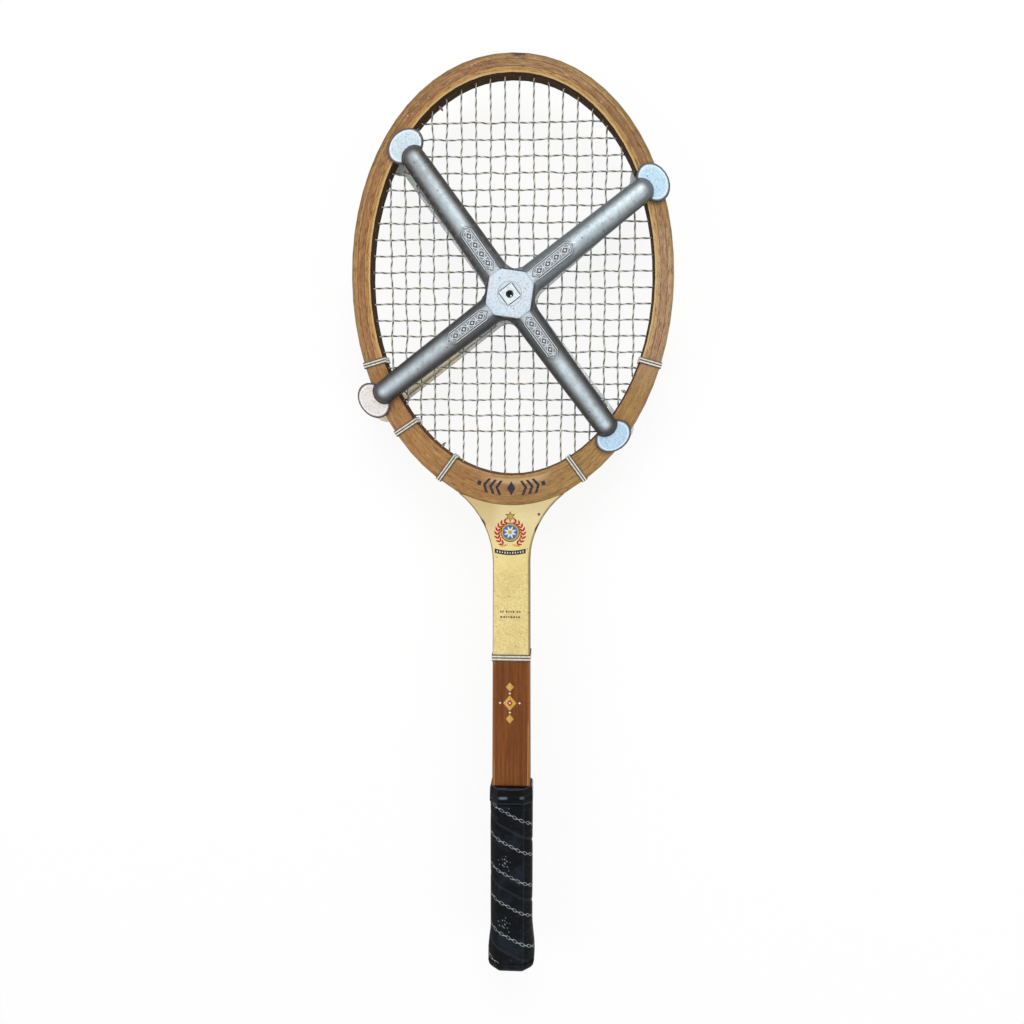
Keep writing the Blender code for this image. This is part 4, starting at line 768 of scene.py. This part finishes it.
def strandTree():
    group = bpy.data.node_groups.new("twistedStrand", "GeometryNodeTree")
    sockets = [(name, "Float") for name in ("Radius", "Groove Depth", "Turns per Metre", "Step")]
    for name, kind in [("Geometry", "Geometry"), *sockets, ("Material", "Material")]:
        group.interface.new_socket(name, in_out="INPUT", socket_type="NodeSocket" + kind)
    group.interface.new_socket("Geometry", in_out="OUTPUT", socket_type="NodeSocketGeometry")

    tree = Tree(group)

    def make(kind, inputs=None, **settings):
        return tree.node("GeometryNode" + kind, inputs, **settings).outputs

    def maths(operation, first, second=0.0):
        return tree.node("ShaderNodeMath", {0: first, 1: second}, operation=operation).outputs[0]

    given = tree.node("NodeGroupInput").outputs
    even = make("ResampleCurve", {"Curve": given["Geometry"], "Length": given["Step"]}, mode="LENGTH")
    length = make("SplineParameter")["Length"]
    twist = maths("MULTIPLY", maths("MULTIPLY", length, given["Turns per Metre"]), 2 * math.pi)
    tilted = make("SetCurveTilt", {"Curve": even[0], "Tilt": twist})
    circle = make("CurvePrimitiveCircle", {"Resolution": 10, "Radius": given["Radius"]})
    lobes = maths("COSINE", maths("MULTIPLY", make("SplineParameter")["Factor"], 4 * math.pi))
    groove = maths("SUBTRACT", 0.5, maths("MULTIPLY", lobes, 0.5))
    shrink = maths("SUBTRACT", 1.0, maths("MULTIPLY", groove, given["Groove Depth"]))
    scaling = {0: make("InputPosition")[0], "Scale": shrink}
    moved = tree.node("ShaderNodeVectorMath", scaling, operation="SCALE").outputs[0]
    stored = make("StoreNamedAttribute", {"Geometry": circle[0], "Name": "groove", "Value": groove})
    shaped = make("SetPosition", {"Geometry": stored[0], "Position": moved})
    tube = make("CurveToMesh", {"Curve": tilted[0], "Profile Curve": shaped[0], "Fill Caps": True})
    smooth = make("SetShadeSmooth", {"Geometry": tube[0]})
    dressed = make("SetMaterial", {"Geometry": smooth[0], "Material": given["Material"]})
    whole = make("RealizeInstances", {"Geometry": dressed[0]})
    tree.node("NodeGroupOutput", {"Geometry": whole[0]})
    return group


def strandPiece(name, runs, look, material, tree):
    curve = bpy.data.curves.new(name, "CURVE")
    curve.dimensions = "3D"
    for points in runs:
        spline = curve.splines.new("BEZIER")
        spline.bezier_points.add(len(points) - 1)
        for control, (point, soft) in zip(spline.bezier_points, points):
            control.co = scaled([point])[0]
            control.handle_left_type = control.handle_right_type = "AUTO" if soft else "VECTOR"
        spline.resolution_u = 6
    holder = put(bpy.data.objects.new(name + "_path", curve))
    modifier = holder.modifiers.new("strand", "NODES")
    modifier.node_group = tree
    values = {"Radius": look["radius"] * mm, "Groove Depth": 0.2, "Turns per Metre": look["turnsPerMetre"]}
    values.update({"Step": look["step"] * mm, "Material": material})
    for item in tree.interface.items_tree:
        if item.item_type == "SOCKET" and item.in_out == "INPUT" and item.name in values:
            modifier[item.identifier] = values[item.name]
    made = link(name, evaluated(holder, name), [], "racket", "string_gut")
    print(name, len(made.data.polygons), "faces")
    return made


random.seed(11)
wander = {(i, j): (random.uniform(-0.55, 0.55), random.uniform(-0.45, 0.45))
          for i in range(len(columns)) for j in range(len(rows))}


def runOutside(first, second):
    points = []
    if first["kind"] == "rim" and second["kind"] == "rim" and first["side"] == second["side"]:
        span = second["angle"] - first["angle"]
        steps = max(1, math.ceil(math.dist(first["points"][1], second["points"][1]) / string["loopStep"]))
        for k in range(1, steps):
            x, y = rimPoint(first["angle"] + span * k / steps, outDepth)[:2]
            points.append(((first["side"] * x, y, first["height"]), False))
    return points


def crossingHeight(x, y, column, row, isMain):
    angle = angleAtY(y)
    wallX = rimPoint(angle, rimWidth(angle))[0]
    low = turnLine(angleAtX(abs(x), -1))[1]
    high = turnLine(angleAtX(abs(x), 1))[1]
    mainOver = (column + row) % 2 == 0
    if wallX - abs(x) < string["levelRoom"] or min(y - low, high - y) < string["levelRoom"]:
        mainOver = True
    return string["lift"] if mainOver == isMain else -string["lift"]


def inward(hole):
    (wallX, wallY), (outX, outY) = hole["points"]
    size = math.hypot(wallX - outX, wallY - outY)
    return wallX, wallY, (wallX - outX) / size, (wallY - outY) / size


def tieRun(hole):
    wallX, wallY, inX, inY = inward(hole)
    reach = string["knotReach"]
    spots = [(wallX + inX * reach, wallY + inY * reach), *hole["points"]]
    return [((*spot, hole["height"]), False) for spot in spots]


def stringPath(isMain):
    ties, room = tieHoles(), string["crossingRoom"]
    pairs = mainHoles() if isMain else crossHoles()
    names = ("mainStart", "mainEnd") if isMain else ("crossStart", "crossEnd")
    path, previous = tieRun(ties[names[0]]), ties[names[0]]
    for rank, (low, high) in enumerate(pairs):
        forward = rank % 2 == 0
        first, last = (low, high) if forward else (high, low)
        path += runOutside(previous, first)
        run = [((*low["points"][k], low["height"]), False) for k in (1, 0)]
        for other in range(len(rows) if isMain else len(columns)):
            i, j = (rank, other) if isMain else (other, rank)
            x, y = columns[i], rows[j]
            if isMain:
                inside = low["points"][0][1] + room < y < high["points"][0][1] - room
            else:
                inside = abs(x) < high["points"][0][0] - room
            if inside:
                shiftX, shiftY = wander[i, j]
                run.append(((x + shiftX, y + shiftY, crossingHeight(x, y, i, j, isMain)), True))
        run += [((*high["points"][k], high["height"]), False) for k in (0, 1)]
        path += run if forward else run[::-1]
        previous = last
    path += runOutside(previous, ties[names[1]])
    return path + tieRun(ties[names[1]])[::-1]


def knotRun(hole):
    wallX, wallY, inX, inY = inward(hole)
    points = []
    count = knot["turns"] * knot["pointsPerTurn"]
    for k in range(count + 1):
        angle = 2 * math.pi * k / knot["pointsPerTurn"]
        reach = knot["start"] + knot["length"] * k / count
        aside, rise = knot["radius"] * math.cos(angle), knot["radius"] * math.sin(angle)
        points.append(((wallX + inX * reach - inY * aside, wallY + inY * reach + inX * aside,
                        hole["height"] + rise), True))
    return points


strand = strandTree()
gut = stringMaterial("twistedGut")
mainPiece = strandPiece("main_gut", [stringPath(True)], gutLook, gut, strand)
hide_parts("main_string")
crossPiece = strandPiece("cross_gut", [stringPath(False)], gutLook, gut, strand)
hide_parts("cross_string")
knots = [knotRun(hole) for hole in tieHoles().values()]
strandPiece("string_knots", knots, knotLook, gut, strand)


# Castings and rubber parts, with their edges rounded

def softCopy(node, name, body, slot, voxel, passes, keep):
    holder = put(bpy.data.objects.new(name, nodes[node].data.copy()))
    remesh = holder.modifiers.new("remesh", "REMESH")
    remesh.mode, remesh.voxel_size, remesh.use_smooth_shade = "VOXEL", voxel * mm, True
    smooth = holder.modifiers.new("smooth", "SMOOTH")
    smooth.factor, smooth.iterations = 0.5, passes
    holder.modifiers.new("thin", "DECIMATE").ratio = keep
    mesh = evaluated(holder, name)
    mesh.materials.clear()
    mesh.shade_smooth()
    made = link(name, mesh, [looks[node]], body, slot)
    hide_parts(node)
    print(name, len(mesh.polygons), "faces")


softCopy("press_front_casting", "cast_front", "press_front", "press_metal", 0.62, 12, 0.35)
softCopy("press_rear_casting", "cast_rear", "press_rear", "press_metal", 0.62, 12, 0.35)
softCopy("grip_collar", "collar_rubber", "racket", "collar_black", 0.35, 10, 0.5)
softCopy("butt_cap", "cap_rubber", "racket", "cap_black", 0.45, 24, 0.5)


# Glue lines between the plies of the head

def barMesh(name, rings):
    mesh = bmesh.new()
    loops = [[mesh.verts.new(point) for point in scaled(ring)] for ring in rings]
    mesh.faces.new(loops[0])
    mesh.faces.new(loops[-1])
    for low, high in zip(loops, loops[1:]):
        addSides(mesh, low, high)
    return closed(mesh, name)


seam = {"depths": (4.35, 9.25), "width": 0.4, "height": rim["halfDepth"] - 0.06, "room": 0.01, "steps": 200}
glue = plainMaterial("glueLine", (92, 58, 30), (128, 84, 44), 0.4, 0.3, Specular_IOR_Level=0.2)
for number, near in enumerate(seam["depths"]):
    first, rings = bandAngles()["high"] + seam["room"], []
    corners = [(near, 1), (near + seam["width"], 1), (near + seam["width"], -1), (near, -1)]
    for k in range(seam["steps"] + 1):
        angle = first + (math.pi - 2 * first) * k / seam["steps"]
        rings.append([(*rimPoint(angle, depth)[:2], side * seam["height"]) for depth, side in corners])
    name = f"glue_line_{number}"
    link(name, barMesh(name, rings), [glue], "racket", "core_wood")


# Printed marks, as thin films on the faces they lie on

marks = {"face": rim["halfDepth"] + 0.01, "thickness": 0.04}


def film(name, shapes, height, material, slot):
    mesh = bmesh.new()
    for shape in shapes:
        low, high = ([mesh.verts.new(point) for point in scaled([(x, y, level) for x, y in shape])]
                     for level in (height, height + marks["thickness"]))
        mesh.faces.new(low[::-1])
        mesh.faces.new(high)
        addSides(mesh, low, high)
    return link(name, closed(mesh, name), [material], "racket", slot)


def box(x, y, halfWidth, halfHeight):
    return [(x - halfWidth, y - halfHeight), (x + halfWidth, y - halfHeight),
            (x + halfWidth, y + halfHeight), (x - halfWidth, y + halfHeight)]


def blade(x, y, turn, length, width, steps=7):
    points = []
    for side in (1, -1):
        for k in range(steps + 1) if side > 0 else range(steps - 1, 0, -1):
            share = k / steps
            reach, aside = length * share, side * width / 2 * math.sin(math.pi * share ** 0.8)
            points.append((x + reach * math.cos(turn) - aside * math.sin(turn),
                           y + reach * math.sin(turn) + aside * math.cos(turn)))
    return points


def star(x, y, outer, inner, count, turn=math.pi / 2):
    points = []
    for k in range(2 * count):
        reach = outer if k % 2 == 0 else inner
        angle = turn + math.pi * k / count
        points.append((x + reach * math.cos(angle), y + reach * math.sin(angle)))
    return points


inkColours = {
    "inkRed": ((168, 22, 30), (196, 88, 74)), "inkBlue": ((48, 104, 158), (120, 156, 170)),
    "inkWhite": ((226, 226, 214), (206, 200, 170)), "inkGold": ((190, 148, 52), (222, 192, 112)),
    "inkBlack": ((22, 22, 26), (90, 82, 66)), "inkFaded": ((84, 76, 56), (170, 152, 104)),
    "inkNavy": ((30, 34, 50), (96, 76, 56)), "shaftGold": ((206, 168, 92), (158, 108, 52)),
    "shaftRed": ((150, 20, 14), (170, 66, 44)),
}
inks = {name: plainMaterial(name, fresh, worn, 0.4, 0.9, Specular_IOR_Level=0.25)
        for name, (fresh, worn) in inkColours.items()}


badge = {"x": -0.8, "y": 347.0, "leaves": 8, "leafRing": 9.6, "crown": 11.6, "petals": 8}
badge.update({"ribbonSteps": 12, "ribbonHalf": 11.5, "ribbonDrop": 12.2, "ribbonTall": 3.3})


def makeBadge():
    x, y, crown = badge["x"], badge["y"], badge["y"] + badge["crown"]
    black = [star(x, crown, 4.2, 2.0, 6), star(x, y, 7.3, 7.1, 20)]
    gold = [star(x, crown, 3.4, 1.5, 6), star(x, y, 6.7, 6.5, 20)]
    red, white, ribbon = [], [], []
    for side in (1, -1):
        for k in range(badge["leaves"]):
            angle = math.radians(-58 + 17 * k)
            px = x + side * badge["leafRing"] * math.cos(angle)
            py = y - 1 + badge["leafRing"] * math.sin(angle)
            for lean in (0.75, -0.55):
                turn = angle + math.pi / 2 + lean
                turn = turn if side > 0 else math.pi - turn
                red.append(blade(px, py, turn, 3.9, 1.5))
        turn = math.pi / 2 - side * math.pi / 2 - side * 0.25
        gold.append(blade(x + side * 1.5, y - 9.2, turn, 6.5, 1.3))
    for k in range(badge["petals"]):
        turn = 2 * math.pi / badge["petals"] * (k + 0.5)
        white.append(blade(x, y, turn, 4.9, 1.5))
    steps = badge["ribbonSteps"]
    for k in range(steps + 1):
        share = k / steps * 2 - 1
        drop = badge["ribbonDrop"] + 1.6 * (1 - share * share)
        ribbon.append((x + badge["ribbonHalf"] * share, y - drop))
    for k in range(steps):
        (px, py), (nextX, nextY) = ribbon[k:k + 2]
        tall = badge["ribbonTall"]
        black.append([(px, py), (nextX, nextY), (nextX, nextY - tall), (px, py - tall)])
        if k > 0:
            white.append(box(px, py - tall / 2, 0.35, 0.75 if k % 3 else 0.45))
    for layer, shapes, above, ink in (
        ("black", black, 0.0, "inkBlack"), ("gold", gold, 0.02, "inkGold"), ("red", red, 0.01, "inkRed"),
        ("blue", [star(x, y, 5.6, 5.4, 20)], 0.04, "inkBlue"), ("white", white, 0.06, "inkWhite"),
        ("heart", [star(x, y, 1.5, 1.4, 10)], 0.08, "inkGold"),
    ):
        film("badge_" + layer, shapes, marks["face"] + above, inks[ink], "throat_fibre")


def arcShape(points):
    return [rimPoint(-math.pi / 2 + along / head["halfWidth"], depth)[:2] for along, depth in points]


def makeRingMarks():
    low, high, thick, lean = 6.8, 17.4, 2.4, 3.4
    middle = (low + high) / 2
    shapes = [arcShape([(-3.6, middle), (0, low), (3.6, middle), (0, high)])]
    for side in (1, -1):
        for place in (8.0, 13.4, 18.8):
            for outer in (low, high):
                corners = ((place, outer), (place + thick, outer),
                           (place + thick + lean, middle), (place + lean, middle))
                shapes.append(arcShape([(side * along, depth) for along, depth in corners]))
        shapes.append(arcShape(box(side * 27.8, middle, 1.6, 1.6)))
    film("ring_marks", shapes, marks["face"], inks["inkNavy"], "shoulder_veneer")


def makeShaftMarks():
    dashes = []
    random.seed(4)
    for y in (287.0, 282.9):
        x = -8.2
        while x < 6.6:
            width = random.choice((0.9, 1.3, 1.6))
            dashes.append(box(x + width / 2, y, width / 2, 0.7))
            x += width + random.choice((0.7, 0.7, 1.6))
    film("shaft_ticks", dashes, marks["face"], inks["inkFaded"], "throat_fibre")
    x, y = -1.0, 216.5
    lozenges = ((0.0, 5.0, 6.0), (12.5, 3.0, 3.6), (-12.5, 3.0, 3.6))  # rise, half width and half height
    for name, side, ink in (("gold", -1, "shaftGold"), ("pale", 1, "inkGold")):
        halves = [[(x, y + rise + tall), (x, y + rise - tall), (x + side * wide, y + rise)]
                  for rise, wide, tall in lozenges]
        film("motif_" + name, halves, marks["face"], inks[ink], "shaft_veneer")
    red = [(x - 2.2, y), (x, y - 2.6), (x + 2.2, y), (x, y + 2.6)]
    film("motif_red", [red], marks["face"] + 0.02, inks["shaftRed"], "shaft_veneer")
    dots = [star(x + aside, y + rise, 1.15, 0.5, 4, 0.0)
            for aside, rise in ((0.0, 0.0), (-7.4, 0.0), (7.4, 0.0), (0.0, 7.45), (0.0, -7.45))]
    film("motif_dots", dots, marks["face"] + 0.05, inks["inkWhite"], "shaft_veneer")


makeBadge()
makeRingMarks()
makeShaftMarks()
print("printed marks made")


# Leather of the grip

def flare(y):
    share = min(1.0, max(0.0, (grip["flareStart"] - y) / (grip["flareStart"] - grip["flareFull"])))
    return grip["flare"] * share * share * (3 - 2 * share)


def octagonPoint(angle, y, inset=0.0):
    grow = flare(y) - inset
    halfWidth, halfDepth = grip["halfWidth"] + grow, grip["halfDepth"] + grow
    cornerSum = grip["frontFlat"] / 2 + grip["halfDepth"] + math.sqrt(2) * grow
    across, up = abs(math.cos(angle)), abs(math.sin(angle))
    sides = (across / halfWidth, up / halfDepth, (across + up) / cornerSum)
    reach = sum(side ** grip["squareness"] for side in sides) ** (-1 / grip["squareness"])
    return reach * math.cos(angle), y, reach * math.sin(angle)


def makeGrip():
    lowEnd, lead = grip["cap"] + 0.3, grip["lead"]
    half = (lead - grip["seam"]) / 2
    start = (lowEnd + 0.4 - half - grip["middle"]) / lead * 2 * math.pi
    end = (grip["top"] - 0.4 + half - grip["middle"]) / lead * 2 * math.pi
    steps = 620
    edges = (-1.0, -0.985, -0.95, -0.88, -0.75, -0.55, -0.3, 0.0, 0.3, 0.55, 0.75, 0.88, 0.95, 0.985, 1.0)
    mesh = bmesh.new()
    turn = mesh.verts.layers.float.new("turn")
    across = mesh.verts.layers.float.new("across")
    rings, length, previous = [], 0.0, None
    for k in range(steps + 1):
        angle = start + (end - start) * k / steps
        middle = grip["middle"] + lead * angle / (2 * math.pi)
        centre = octagonPoint(angle, min(max(middle, lowEnd), grip["top"]))
        here = (centre[0], middle, centre[2])
        length += math.dist(here, previous) if previous else 0.0
        previous = here
        ring = []
        for outside, order in ((True, edges), (False, edges[::-1])):
            for share in order:
                y = min(max(middle + share * half, lowEnd), grip["top"])
                skive = 0.62 * max(0.0, (abs(share) - 0.9) / 0.1) ** 2
                wrinkle = 0.1 * math.sin(3.1 * angle + 9 * share) * math.sin(7.3 * angle + 4 * share)
                crease = max(0.0, abs(share) - 0.55) / 0.45
                inset = skive + crease * (0.12 + wrinkle) if outside else grip["leather"] - 0.05
                vert = mesh.verts.new(scaled([octagonPoint(angle, y, inset)])[0])
                vert[turn], vert[across] = angle / (2 * math.pi), y - middle
                ring.append(vert)
        rings.append(ring)
    for low, high in zip(rings, rings[1:]):
        addSides(mesh, low, high)
    mesh.faces.new(rings[0])
    mesh.faces.new(rings[-1][::-1])
    data = closed(mesh, "grip_leather")
    data.shade_smooth()
    data.set_sharp_from_angle(angle=math.radians(50))
    grip["turnLength"] = length / ((end - start) / (2 * math.pi))
    return data, length


gripMesh, gripLength = makeGrip()
leather = leatherMaterial("gripLeather", True)
gripPiece = link("grip_leather", gripMesh, [leather], "racket", "grip_leather")
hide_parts("grip_strip")
print("grip leather:", round(gripLength), "mm long")


# Camera, floor and lights

cameraSpot = {"place": (38.66, 446.19, 705.19), "turn": (-0.120031, 0.054855, 0.000850), "focal": 950.6}
camera = bpy.data.cameras.new("camera")
camera.sensor_width = 36.0
camera.lens = cameraSpot["focal"] / 1024 * camera.sensor_width
camera.clip_start, camera.clip_end = 0.01, 20.0
cameraObject = put(bpy.data.objects.new("camera", camera))
cameraObject.location = scaled([cameraSpot["place"]])[0]
cameraObject.rotation_euler = cameraSpot["turn"]
bpy.context.scene.camera = cameraObject

floorMesh = bpy.data.meshes.new("floor")
reach, level = 4.0, -0.0402
floorMesh.from_pydata([(x, y, level) for x, y in box(0.0, 0.0, reach, reach)], [], [(0, 1, 2, 3)])
floor = put(bpy.data.objects.new("floor", floorMesh))


white = (1.0, 1.0, 1.0, 1.0)


def floorMaterial(name, keptShadow):
    graph = Graph(name)
    fibre = graph.noise(0.02, 3.0)
    graph.colour = graph.mix(fibre, (0.97, 0.97, 0.97, 1.0), (0.96, 0.96, 0.96, 1.0))
    graph.surface(fibre * 0.1 + 0.75)
    glow = graph.make("ShaderNodeEmission", {"Color": white, "Strength": 1.0})
    share = Field(graph, graph.seenDirectly()) * (1.0 - keptShadow)
    mixed = graph.make("ShaderNodeMixShader", {0: share, 1: graph.shader.outputs[0], 2: glow})
    graph.plug(graph.tree.nodes["Material Output"].inputs["Surface"], mixed)
    return graph.material


floorMesh.materials.append(floorMaterial("floorPaper", 0.12))

world = bpy.data.worlds.new("world")
bpy.context.scene.world = world
world.use_nodes = True
sky = Tree(world.node_tree)
soft = sky.tree.nodes["Background"]
soft.inputs["Color"].default_value = white
soft.inputs["Strength"].default_value = 0.5
clear = sky.node("ShaderNodeBackground", {"Color": white, "Strength": 1.0})
chosen = sky.node("ShaderNodeMixShader", {0: sky.seenDirectly(), 1: soft.outputs[0], 2: clear.outputs[0]})
sky.plug(sky.tree.nodes["World Output"].inputs["Surface"], chosen.outputs[0])
for name, spot, size, power in (
    ("key", (0.15, 1.75, 1.5), 1.1, 20.0),
    ("side", (-1.2, 0.2, 1.3), 0.9, 6.0),
    ("fill", (1.2, -0.2, 1.3), 0.9, 6.0),
):
    light = bpy.data.lights.new(name, "AREA")
    light.size, light.energy = size, power
    lamp = put(bpy.data.objects.new(name, light))
    lamp.location = spot
    away = Vector(spot) - Vector((0.0, 0.4, 0.0))
    lamp.rotation_euler = away.to_track_quat("Z", "Y").to_euler()
bpy.context.scene.view_settings.view_transform = "Standard"
